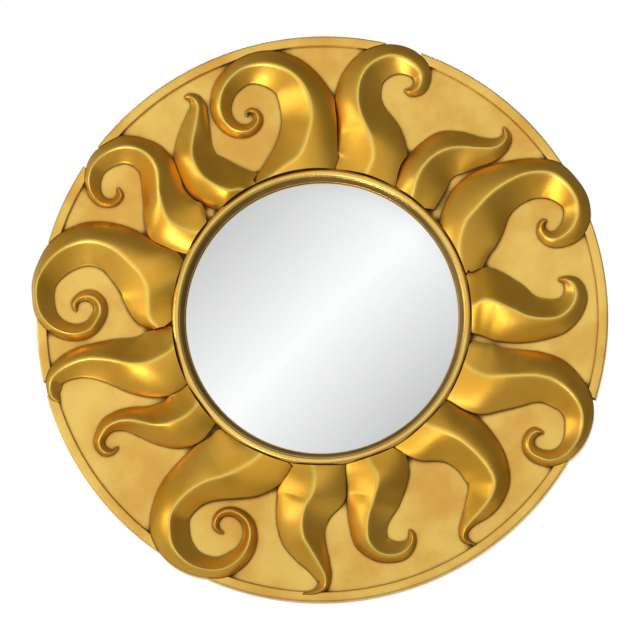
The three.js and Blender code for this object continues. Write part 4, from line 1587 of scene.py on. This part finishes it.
class NodeSheet:
    """Adds nodes to a material, group or world tree, and links them by socket name."""

    def __init__(self, tree: bpy.types.NodeTree) -> None:
        """Starts from a cleared tree."""
        self.tree = tree
        tree.nodes.clear()

    def add(
        self, kind: str, inputs: dict[str | int, object] | None = None, **settings: object
    ) -> bpy.types.Node:
        """Adds a node.

        Args:
            kind: The node type without its ShaderNode prefix.
            inputs: A value, or another node's output, for each input that is set.
            settings: Properties of the node.

        Returns:
            The new node.
        """
        prefix = "" if kind.startswith("NodeGroup") else "ShaderNode"
        node = self.tree.nodes.new(prefix + kind)
        for name, value in settings.items():
            setattr(node, name, value)
        for name, value in (inputs or {}).items():
            socket = self.socket(node, name)
            if isinstance(value, Socket):
                self.tree.links.new(value, socket)
            else:
                socket.default_value = value
        return node

    @staticmethod
    def socket(node: bpy.types.Node, name: str | int) -> Socket:
        """Finds an input.

        Args:
            node: The node.
            name: The input's number, identifier or name.

        Returns:
            The input's socket.
        """
        if isinstance(name, int):
            return node.inputs[name]
        for socket in node.inputs:
            if socket.identifier == name:
                return socket
        return node.inputs[name]

    def group(
        self, tree: bpy.types.NodeTree, inputs: dict[str | int, object]
    ) -> bpy.types.NodeOutputs:
        """Adds a shared node group with its own values and gives its outputs."""
        return self.add("Group", inputs, node_tree=tree).outputs

    def math(self, how: str, a: object, b: object = 0.0, clamp: bool = False) -> Socket:
        """Adds a Math node and gives its output."""
        return self.add("Math", {0: a, 1: b}, operation=how, use_clamp=clamp).outputs[0]

    def times(self, a: object, b: object) -> Socket:
        """Multiplies two values."""
        return self.math("MULTIPLY", a, b)

    def most(self, a: object, b: object) -> Socket:
        """Gives the larger of two values."""
        return self.math("MAXIMUM", a, b)

    def mix(self, factor: object, a: object, b: object) -> Socket:
        """Mixes two colours and gives the result."""
        inputs = {"Factor_Float": factor, "A_Color": a, "B_Color": b}
        return self.add("Mix", inputs, data_type="RGBA").outputs[2]

    def blend(self, factor: object, a: object, b: object) -> Socket:
        """Goes from value a to value b as the factor goes from 0 to 1."""
        inputs = {"Factor_Float": factor, "A_Float": a, "B_Float": b}
        return self.add("Mix", inputs, data_type="FLOAT").outputs[0]

    def span(
        self, value: object, low: float, high: float, to_low: float = 0.0, to_high: float = 1.0
    ) -> Socket:
        """Maps a value from one range to another, with eased ends.

        Args:
            value: The value.
            low: Start of its range.
            high: End of its range.
            to_low: Result at the start.
            to_high: Result at the end.

        Returns:
            The mapped value.
        """
        inputs = {
            "Value": value,
            "From Min": low,
            "From Max": high,
            "To Min": to_low,
            "To Max": to_high,
        }
        return self.add("MapRange", inputs, interpolation_type="SMOOTHSTEP").outputs["Result"]

    def noise(
        self, place: Socket, scale: object, detail: float, rough: float = 0.5, bend: float = 0.0
    ) -> Socket:
        """Adds a noise and gives its value.

        Args:
            place: Where each point is.
            scale: How fine the noise is.
            detail: Number of finer noises laid over it.
            rough: How strong the finer ones are.
            bend: How far the noise is bent by itself.

        Returns:
            The noise, mostly 0.3 to 0.7.
        """
        inputs = {
            "Vector": place,
            "Scale": scale,
            "Detail": detail,
            "Roughness": rough,
            "Distortion": bend,
        }
        return self.add("TexNoise", inputs).outputs["Fac"]

    def open_air(self, reach: float) -> Socket:
        """How open a point is to its surroundings within `reach` metres, 0 to 1."""
        return self.add("AmbientOcclusion", {"Distance": reach}, samples=8).outputs["AO"]

    def bump(self, strength: float, depth: float, height: Socket) -> Socket:
        """Turns a height into a normal, for relief `depth` metres deep."""
        inputs = {"Strength": strength, "Distance": depth, "Height": height}
        return self.add("Bump", inputs).outputs["Normal"]


def node_group(name: str, inputs: dict[str, object], outputs: Sequence[str]) -> bpy.types.NodeTree:
    """Makes an empty node group with named sockets.

    Args:
        name: The group's name.
        inputs: Each input's name, with its default: a number or a vector.
        outputs: Each output's name. All are plain values.

    Returns:
        The group's tree.
    """
    tree = bpy.data.node_groups.new(name, "ShaderNodeTree")
    for label, default in inputs.items():
        kind = "NodeSocketFloat" if isinstance(default, float) else "NodeSocketVector"
        socket = tree.interface.new_socket(label, in_out="INPUT", socket_type=kind)
        socket.default_value = default
    for label in outputs:
        tree.interface.new_socket(label, in_out="OUTPUT", socket_type="NodeSocketFloat")
    return tree


def mottle_group() -> bpy.types.NodeTree:
    """Soft clouds of tone and fine grain, as leaf, wood and steel have them.

    Returns:
        Group with Tone (0..1), Fine (0..1) and Height outputs.
    """
    inputs = {
        "Vector": (0.0, 0.0, 0.0),
        "Cloud Size": 30.0,
        "Grain Size": 600.0,
        "Grain Share": 0.3,
    }
    tree = node_group("surface_mottle", inputs, ("Tone", "Fine", "Height"))
    sheet = NodeSheet(tree)
    given = sheet.add("NodeGroupInput").outputs
    cloud = sheet.noise(given["Vector"], given["Cloud Size"], 4.0, 0.55)
    grain = sheet.noise(given["Vector"], given["Grain Size"], 3.0, 0.6)
    tone = sheet.span(cloud, 0.32, 0.7)
    fine = sheet.span(grain, 0.3, 0.72)
    height = sheet.blend(given["Grain Share"], tone, fine)
    sheet.add("NodeGroupOutput", {"Tone": tone, "Fine": fine, "Height": height})
    return tree


def highlight_and_shade_group() -> bpy.types.NodeTree:
    """Where raised edges get a pale rub, partly wear and partly a painted highlight, and where
    recesses darken with glaze and painted shade.

    Returns:
        Group with Rubbed Highlight and Darkened Recess masks.
    """
    inputs = {
        "Vector": (0.0, 0.0, 0.0),
        "Raised": 0.0,
        "Recess": 0.0,
        "Break Size": 90.0,
        "Break": 0.35,
    }
    tree = node_group("rub_highlight_and_recess_shade", inputs, ("Rubbed Highlight", "Darkened Recess"))
    sheet = NodeSheet(tree)
    given = sheet.add("NodeGroupInput").outputs
    noise = sheet.noise(given["Vector"], given["Break Size"], 5.0, 0.65)
    broken = sheet.times(sheet.math("SUBTRACT", noise, 0.5), given["Break"])
    twice = sheet.times(broken, 2.0)
    masks = {}
    for name, mask in (("Rubbed Highlight", given["Raised"]), ("Darkened Recess", given["Recess"])):
        patchy = sheet.math("MINIMUM", sheet.math("ADD", mask, twice), 1.0, True)
        masks[name] = sheet.times(patchy, mask)
    sheet.add("NodeGroupOutput", masks)
    return tree


def grain_group() -> bpy.types.NodeTree:
    """Straight wood grain: growth bands bent by noise, and fine pores along them.

    Returns:
        Group with Band and Pore masks and a Height.
    """
    inputs = {"Vector": (0.0, 0.0, 0.0), "Band Size": 26.0, "Pore Size": 260.0}
    tree = node_group("board_grain", inputs, ("Band", "Pore", "Height"))
    sheet = NodeSheet(tree)
    given = sheet.add("NodeGroupInput").outputs
    wide = sheet.add("Mapping", {"Vector": given["Vector"], "Scale": (1.0, 1.0, 0.09)})
    bands = {
        "Vector": wide.outputs[0],
        "Scale": given["Band Size"],
        "Distortion": 7.0,
        "Detail": 3.0,
        "Detail Scale": 1.4,
    }
    band = sheet.add("TexWave", bands, bands_direction="X").outputs["Fac"]
    narrow = sheet.add("Mapping", {"Vector": given["Vector"], "Scale": (1.0, 1.0, 0.03)})
    pore = sheet.span(sheet.noise(narrow.outputs[0], given["Pore Size"], 4.0, 0.7), 0.52, 0.68)
    height = sheet.math("SUBTRACT", sheet.times(band, 0.3), pore)
    sheet.add("NodeGroupOutput", {"Band": band, "Pore": pore, "Height": height})
    return tree


@dataclass(frozen=True)
class SharedEffects:
    """The node groups that several finishes use."""

    mottle: bpy.types.NodeTree
    highlight_and_shade: bpy.types.NodeTree
    grain: bpy.types.NodeTree

    @classmethod
    def build(cls) -> SharedEffects:
        """Makes each group once."""
        return cls(mottle_group(), highlight_and_shade_group(), grain_group())


def shade(red: float, green: float, blue: float) -> Colour:
    """Makes a linear colour from what a screen shows.

    Args:
        red: The screen's value, 0 to 255.
        green: The same for green.
        blue: The same for blue.

    Returns:
        The colour, opaque.
    """

    def linear(value: float) -> float:
        """Undoes the screen's curve."""
        part = value / 255.0
        return part / 12.92 if part <= 0.04045 else ((part + 0.055) / 1.055) ** 2.4

    return linear(red), linear(green), linear(blue), 1.0


@dataclass(frozen=True)
class Finish:
    """A procedural material. Each kind of surface says what feeds its shader."""

    name: str

    def inputs(self, sheet: NodeSheet, place: Socket, effects: SharedEffects) -> dict[str, object]:
        """Makes the nodes that feed the shader.

        Args:
            sheet: The material's nodes.
            place: Where each point is on the object.
            effects: The shared node groups.

        Returns:
            A value or a node's output for each of the shader's inputs that is set.
        """
        raise NotImplementedError

    def material(self, effects: SharedEffects) -> Material:
        """Builds the finish.

        Args:
            effects: The shared node groups.

        Returns:
            The material.
        """
        material = bpy.data.materials.new(self.name)
        material.use_nodes = True
        sheet = NodeSheet(material.node_tree)
        place = sheet.add("TexCoord").outputs["Object"]
        shader = sheet.add("BsdfPrincipled", self.inputs(sheet, place, effects))
        sheet.add("OutputMaterial", {"Surface": shader.outputs[0]})
        return material


class MaskSource(Enum):
    """Where a gilded finish finds its raised edges and its recesses."""

    CARVED = "masks kept on the carved rays"
    CORNERS = "hollows found by occlusion"


@dataclass(frozen=True)
class GildedFinish(Finish):
    """Metal leaf over gesso, darkened in the recesses by umber glaze and painted shade, and rubbed
    on top, which is partly wear and partly a painted highlight.

    Glaze and painted shade fill hollows within `hollow` metres, and a thinner painted shade of
    `shadow_share` reaches `shadow_reach` metres out of them.
    """

    source: MaskSource
    leaf: Colour = shade(246, 206, 108)
    warm: Colour = shade(238, 190, 88)
    rub_highlight: Colour = shade(255, 218, 104)
    glaze_and_shade: Colour = shade(66, 36, 6)
    metallic: float = 0.92
    glazed_and_shaded_metallic: float = 0.35
    roughness: float = 0.33
    rough_swing: float = 0.1
    highlight_share: float = 0.75
    glaze_and_shade_share: float = 0.9
    foot_shade_share: float = 0.7
    hollow: float = 0.005
    shadow_reach: float = 0.016
    shadow_share: float = 0.3
    bump: float = 0.12
    cloud_size: float = 14.0

    def inputs(self, sheet: NodeSheet, place: Socket, effects: SharedEffects) -> dict[str, object]:
        """Leaf of two tones, with a pale rub on the crests that is partly wear and partly a painted
        highlight, and glaze and painted shade in the hollows.

        Args:
            sheet: The material's nodes.
            place: Where each point is on the object.
            effects: The shared node groups.

        Returns:
            What feeds the shader's inputs.
        """
        sizes = {"Vector": place, "Cloud Size": self.cloud_size, "Grain Size": 900.0}
        mottle = sheet.group(effects.mottle, sizes)
        # Occlusion darkens the hollows, partly real umber glaze and partly painted shade; the wider
        # reach is a softer painted shade round raised parts.
        recess = sheet.span(sheet.open_air(self.hollow), 0.5, 0.9, 1.0, 0.0)
        around = sheet.span(sheet.open_air(self.shadow_reach), 0.45, 0.95, self.shadow_share, 0.0)
        recess = sheet.most(recess, around)
        raised: object = 0.0
        # Near the crest the leaf turns to the pale rub colour: partly wear, partly a painted
        # highlight.
        if self.source is MaskSource.CARVED:
            raised = sheet.add("Attribute", attribute_name="crest").outputs["Fac"]
            foot = sheet.add("Attribute", attribute_name="foot").outputs["Fac"]
            # The foot of each side wall darkens too: partly glaze pooled there, partly painted
            # shade.
            recess = sheet.most(recess, sheet.times(foot, self.foot_shade_share))
        masks = {"Vector": place, "Raised": raised, "Recess": recess, "Break Size": 70.0}
        highlight_and_shade = sheet.group(effects.highlight_and_shade, masks)
        glazed_and_shaded = sheet.times(highlight_and_shade["Darkened Recess"], self.glaze_and_shade_share)
        base = sheet.mix(mottle["Tone"], self.leaf, self.warm)
        base = sheet.mix(sheet.times(highlight_and_shade["Rubbed Highlight"], self.highlight_share), base, self.rub_highlight)
        low, high = (self.roughness + s * self.rough_swing / 2 for s in (-1, 1))
        rough = sheet.span(mottle["Fine"], 0.0, 1.0, low, high)
        return {
            "Base Color": sheet.mix(glazed_and_shaded, base, self.glaze_and_shade),
            "Metallic": sheet.span(glazed_and_shaded, 0.0, 1.0, self.metallic, self.glazed_and_shaded_metallic),
            "Roughness": sheet.math("ADD", rough, sheet.times(glazed_and_shaded, 0.25), True),
            "Normal": sheet.bump(self.bump, 0.0006, mottle["Height"]),
        }


@dataclass(frozen=True)
class SilveredGlassFinish(Finish):
    """Silver behind glass: a clear mirror with the faintest film on its face."""

    silver: Colour = (0.96, 0.965, 0.97, 1.0)
    film: Colour = (0.9, 0.91, 0.92, 1.0)

    def inputs(self, sheet: NodeSheet, place: Socket, effects: SharedEffects) -> dict[str, object]:
        """Bright silver with a thin uneven film.

        Args:
            sheet: The material's nodes.
            place: Where each point is on the object.
            effects: The shared node groups.

        Returns:
            What feeds the shader's inputs.
        """
        sizes = {"Vector": place, "Cloud Size": 5.0, "Grain Size": 120.0}
        mottle = sheet.group(effects.mottle, sizes)
        return {
            "Base Color": sheet.mix(sheet.times(mottle["Tone"], 0.25), self.silver, self.film),
            "Metallic": 1.0,
            "Roughness": sheet.span(mottle["Fine"], 0.0, 1.0, 0.012, 0.035),
        }


@dataclass(frozen=True)
class WoodFinish(Finish):
    """Bare softwood or board with straight grain, pores and a little dust."""

    light: Colour = shade(196, 158, 110)
    dark: Colour = shade(150, 108, 66)
    pore: Colour = shade(92, 62, 36)
    band_size: float = 26.0
    roughness: float = 0.62

    def inputs(self, sheet: NodeSheet, place: Socket, effects: SharedEffects) -> dict[str, object]:
        """Bands, pores and soft clouds of darker wood.

        Args:
            sheet: The material's nodes.
            place: Where each point is on the object.
            effects: The shared node groups.

        Returns:
            What feeds the shader's inputs.
        """
        grain = sheet.group(effects.grain, {"Vector": place, "Band Size": self.band_size})
        sizes = {"Vector": place, "Cloud Size": 9.0, "Grain Size": 500.0}
        mottle = sheet.group(effects.mottle, sizes)
        base = sheet.mix(sheet.times(grain["Band"], 0.7), self.light, self.dark)
        base = sheet.mix(sheet.times(grain["Pore"], 0.45), base, self.pore)
        low, high = self.roughness - 0.08, self.roughness + 0.12
        return {
            "Base Color": sheet.mix(sheet.times(mottle["Tone"], 0.22), base, self.dark),
            "Roughness": sheet.span(mottle["Fine"], 0.0, 1.0, low, high),
            "Normal": sheet.bump(0.25, 0.0005, grain["Height"]),
        }


@dataclass(frozen=True)
class SteelFinish(Finish):
    """Plated steel: brighter where it rubs, duller and browner in its corners, where the darkening
    is painted shade.
    """

    bright: Colour = shade(208, 202, 190)
    dull: Colour = shade(150, 138, 118)
    roughness: float = 0.34

    def inputs(self, sheet: NodeSheet, place: Socket, effects: SharedEffects) -> dict[str, object]:
        """Bright plating with dull clouds, and dull corners that are painted shade.

        Args:
            sheet: The material's nodes.
            place: Where each point is on the object.
            effects: The shared node groups.

        Returns:
            What feeds the shader's inputs.
        """
        sizes = {"Vector": place, "Cloud Size": 130.0, "Grain Size": 1500.0}
        mottle = sheet.group(effects.mottle, sizes)
        # Occlusion dulls and browns the corners: painted shade.
        recess = sheet.span(sheet.open_air(0.003), 0.4, 0.9, 1.0, 0.0)
        masks = {"Vector": place, "Recess": recess, "Break Size": 300.0}
        highlight_and_shade = sheet.group(effects.highlight_and_shade, masks)
        dulled_and_shaded = sheet.most(sheet.times(mottle["Tone"], 0.5), highlight_and_shade["Darkened Recess"])
        low, high = self.roughness - 0.06, self.roughness + 0.12
        return {
            "Base Color": sheet.mix(dulled_and_shaded, self.bright, self.dull),
            "Metallic": 1.0,
            "Roughness": sheet.span(mottle["Fine"], 0.0, 1.0, low, high),
            "Normal": sheet.bump(0.1, 0.0003, mottle["Height"]),
        }


@dataclass(frozen=True)
class FeltFinish(Finish):
    """Pressed felt: matted fibres with a soft sheen."""

    base: Colour = shade(62, 60, 57)
    pale: Colour = shade(98, 95, 90)
    sheen: float = 0.35

    def inputs(self, sheet: NodeSheet, place: Socket, effects: SharedEffects) -> dict[str, object]:
        """Matted fibres of two tones.

        Args:
            sheet: The material's nodes.
            place: Where each point is on the object.
            effects: The shared node groups.

        Returns:
            What feeds the shader's inputs.
        """
        matted = sheet.span(sheet.noise(place, 1800.0, 3.0, bend=1.2), 0.38, 0.66)
        sizes = {"Vector": place, "Cloud Size": 160.0, "Grain Size": 2600.0}
        mottle = sheet.group(effects.mottle, sizes)
        tone = sheet.math("ADD", sheet.times(matted, 0.6), mottle["Tone"])
        return {
            "Base Color": sheet.mix(sheet.times(tone, 0.6), self.base, self.pale),
            "Roughness": 0.92,
            "Sheen Weight": self.sheen,
            "Sheen Roughness": 0.5,
            "Normal": sheet.bump(0.5, 0.0004, matted),
        }


@dataclass(frozen=True)
class FloorFinish(Finish):
    """Matt pale paint on the studio's floor."""

    pale: Colour = shade(236, 236, 234)
    paler: Colour = shade(242, 242, 241)

    def inputs(self, sheet: NodeSheet, place: Socket, effects: SharedEffects) -> dict[str, object]:
        """Paint of two tones."""
        speck = sheet.noise(place, 3.0, 2.0)
        return {"Base Color": sheet.mix(speck, self.pale, self.paler), "Roughness": 0.8}


# ---------------------------------------------------------------- studio


@dataclass(frozen=True)
class Lamp:
    """One soft box: where it stands, how wide it is and how strong."""

    name: str
    place: tuple[float, float, float]
    size: float
    watts: float


@dataclass(frozen=True)
class Room:
    """How bright the studio's walls are, which is what the gold and the glass show.

    In front is one pale diagonal band, brightest `band_at` to its upper left. The
    sides have `side_level`, which changes by `side_up` and `side_right` towards the
    top and the right. The wall behind starts and is full at `behind`.
    """

    band_level: float = 1.04
    band_fall: float = 0.82
    band_at: float = 0.13
    side_level: float = 0.3
    side_up: float = -0.12
    side_right: float = -0.24
    side_least: float = 0.17
    lean: float = 0.12
    front: Pair = (0.6, 0.83)
    behind: Pair = (0.5, 0.85)
    behind_level: float = 0.6

    def build(self) -> None:
        """Makes the world: the room, and the white background behind the mirror.

        The camera sees white all round. Metal and glass show the white wall behind
        too, and the room elsewhere.
        """
        world = bpy.data.worlds.new("studio")
        bpy.context.scene.world = world
        world.use_nodes = True
        sheet = NodeSheet(world.node_tree)
        towards = sheet.add("TexCoord").outputs["Generated"]
        axes = sheet.add("SeparateXYZ", {"Vector": towards}).outputs
        slant = sheet.times(sheet.math("SUBTRACT", axes["Z"], axes["X"]), math.sqrt(0.5))
        off = sheet.math("ABSOLUTE", sheet.math("SUBTRACT", slant, self.band_at))
        band = sheet.math("SUBTRACT", self.band_level, sheet.times(off, self.band_fall))
        change = sheet.math(
            "ADD", sheet.times(axes["Z"], self.side_up), sheet.times(axes["X"], self.side_right)
        )
        side = sheet.most(sheet.math("ADD", change, self.side_level), self.side_least)
        front = sheet.times(axes["Y"], -1.0)
        leaning = sheet.math("SUBTRACT", front, sheet.times(axes["X"], self.lean))
        room = sheet.blend(sheet.span(leaning, *self.front), side, band)
        behind = sheet.span(axes["Y"], *self.behind)
        room = sheet.blend(behind, room, self.behind_level)
        ray = sheet.add("LightPath").outputs
        shown = sheet.most(ray["Is Glossy Ray"], ray["Is Transmission Ray"])
        white = sheet.most(ray["Is Camera Ray"], sheet.times(shown, behind))
        level = sheet.blend(white, room, 1.0)
        light = sheet.add("Background", {"Color": (1.0, 1.0, 1.0, 1.0), "Strength": level})
        sheet.add("OutputWorld", {"Surface": light.outputs[0]})


@dataclass(frozen=True)
class Studio:
    """Camera, soft boxes, a pale floor and the room round them. Places are in metres."""

    distance: float = 12.0
    azimuth: float = 3.0
    elevation: float = -8.5
    millimetres_across: float = 852.5
    film: float = 36.0
    aim: tuple[float, float, float] = (-0.0027, -0.03, -0.003)
    floor_at: float = -0.62
    floor_radius: float = 0.9
    room: Room = Room()
    lamps: tuple[Lamp, ...] = (
        Lamp("low_front_box", (-0.6, -1.6, -1.2), 0.6, 11.0),
        Lamp("left_box", (-2.2, -1.4, 0.2), 0.8, 5.0),
        Lamp("back_box", (-0.2, 2.6, 1.0), 1.6, 40.0),
    )

    @staticmethod
    def stand(name: str, data: bpy.types.ID, place: Vector, towards: Vector) -> Piece:
        """Stands a camera or a lamp in the studio.

        Args:
            name: The object's name.
            data: The camera or the light.
            place: Where it stands.
            towards: The direction that it faces.

        Returns:
            The new object.
        """
        thing = bpy.data.objects.new(name, data)
        thing.location = place
        thing.rotation_euler = towards.to_track_quat("-Z", "Y").to_euler()
        bpy.context.scene.collection.objects.link(thing)
        return thing

    def camera(self) -> None:
        """Sets the camera a little below and to the right of the mirror's axis."""
        azimuth, elevation = math.radians(self.azimuth), math.radians(self.elevation)
        right = math.sin(azimuth) * math.cos(elevation)
        forward = -math.cos(azimuth) * math.cos(elevation)
        away = Vector((right, forward, math.sin(elevation)))
        data = bpy.data.cameras.new("camera")
        data.sensor_width = self.film
        data.lens = self.film * self.distance / (self.millimetres_across * MM)
        place = Vector(self.aim) + away * self.distance
        bpy.context.scene.camera = self.stand("camera", data, place, -away)

    def boxes(self) -> None:
        """Hangs the soft boxes, each facing the mirror."""
        for lamp in self.lamps:
            data = bpy.data.lights.new(lamp.name, "AREA")
            data.shape = "DISK"
            data.size = lamp.size
            data.energy = lamp.watts
            self.stand(lamp.name, data, Vector(lamp.place), -Vector(lamp.place))

    def floor(self, effects: SharedEffects) -> None:
        """Lays a pale round floor below the mirror.

        Args:
            effects: The shared node groups.
        """
        floor = rod("studio_floor", self.floor_radius / MM, 0, -10, 96)
        floor.data.transform(Matrix.Rotation(math.pi / 2, 4, "X"))
        floor.data.transform(Matrix.Translation((0.0, 0.0, self.floor_at)))
        floor.data.materials.append(FloorFinish("studio_floor").material(effects))

    def build(self, effects: SharedEffects) -> None:
        """Sets up the studio.

        Args:
            effects: The shared node groups.
        """
        self.camera()
        self.boxes()
        self.floor(effects)
        self.room.build()
        bpy.context.scene.view_settings.view_transform = "Standard"


# ---------------------------------------------------------------- assembly


def main() -> None:
    """Builds every sub-assembly round the frame."""
    logging.basicConfig(level=logging.INFO, format="%(message)s")
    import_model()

    sizes = MirrorSizes()
    effects = SharedEffects.build()
    finishes = (
        GildedFinish(
            "carved_gilding",
            MaskSource.CARVED,
            leaf=shade(243, 186, 72),
            warm=shade(232, 170, 50),
            hollow=0.0035,
        ),
        GildedFinish(
            "flat_gilding",
            MaskSource.CORNERS,
            leaf=shade(250, 209, 108),
            warm=shade(230, 176, 80),
            roughness=0.38,
            hollow=0.009,
        ),
        GildedFinish("burnished_gilding", MaskSource.CORNERS, roughness=0.26),
        # A darker, duller copy of the gilding for the ring's bevel: painted shade.
        GildedFinish(
            "shaded_bevel_gilding",
            MaskSource.CORNERS,
            leaf=shade(150, 118, 58),
            warm=shade(128, 96, 44),
            metallic=0.75,
            roughness=0.42,
        ),
        SilveredGlassFinish("silvered_glass_finish"),
        WoodFinish("panel_wood"),
        WoodFinish("board_wood", band_size=14.0),
        SteelFinish("plated_steel"),
        SteelFinish("screw_steel", roughness=0.28),
        FeltFinish("pressed_felt"),
        FeltFinish("packing_felt", shade(188, 178, 154), shade(214, 205, 184)),
    )
    made = {finish.name: finish.material(effects) for finish in finishes}

    Studio().build(effects)
    border = CarvedBorder(sizes, CarvingStyle(), RAY_PATTERNS)
    board = BackBoard(sizes)
    hangers = Hangers(sizes)
    border.build(made["carved_gilding"])
    screws = [*board.screw_places(), *hangers.screw_places()]
    panel = GroundPanel(sizes, RIM_BREAKS)
    panel.build(border.rays(), screws, made["flat_gilding"], made["panel_wood"])
    SightRing(sizes).build(made["burnished_gilding"], made["shaded_bevel_gilding"])
    ConvexGlass(sizes).build(made["silvered_glass_finish"], made["packing_felt"])
    board.build(made["board_wood"], made["plated_steel"], made["screw_steel"])
    hangers.build(made["plated_steel"], made["screw_steel"])
    WallBumpers(sizes).build(made["pressed_felt"])


if __name__ == "__main__":
    main()
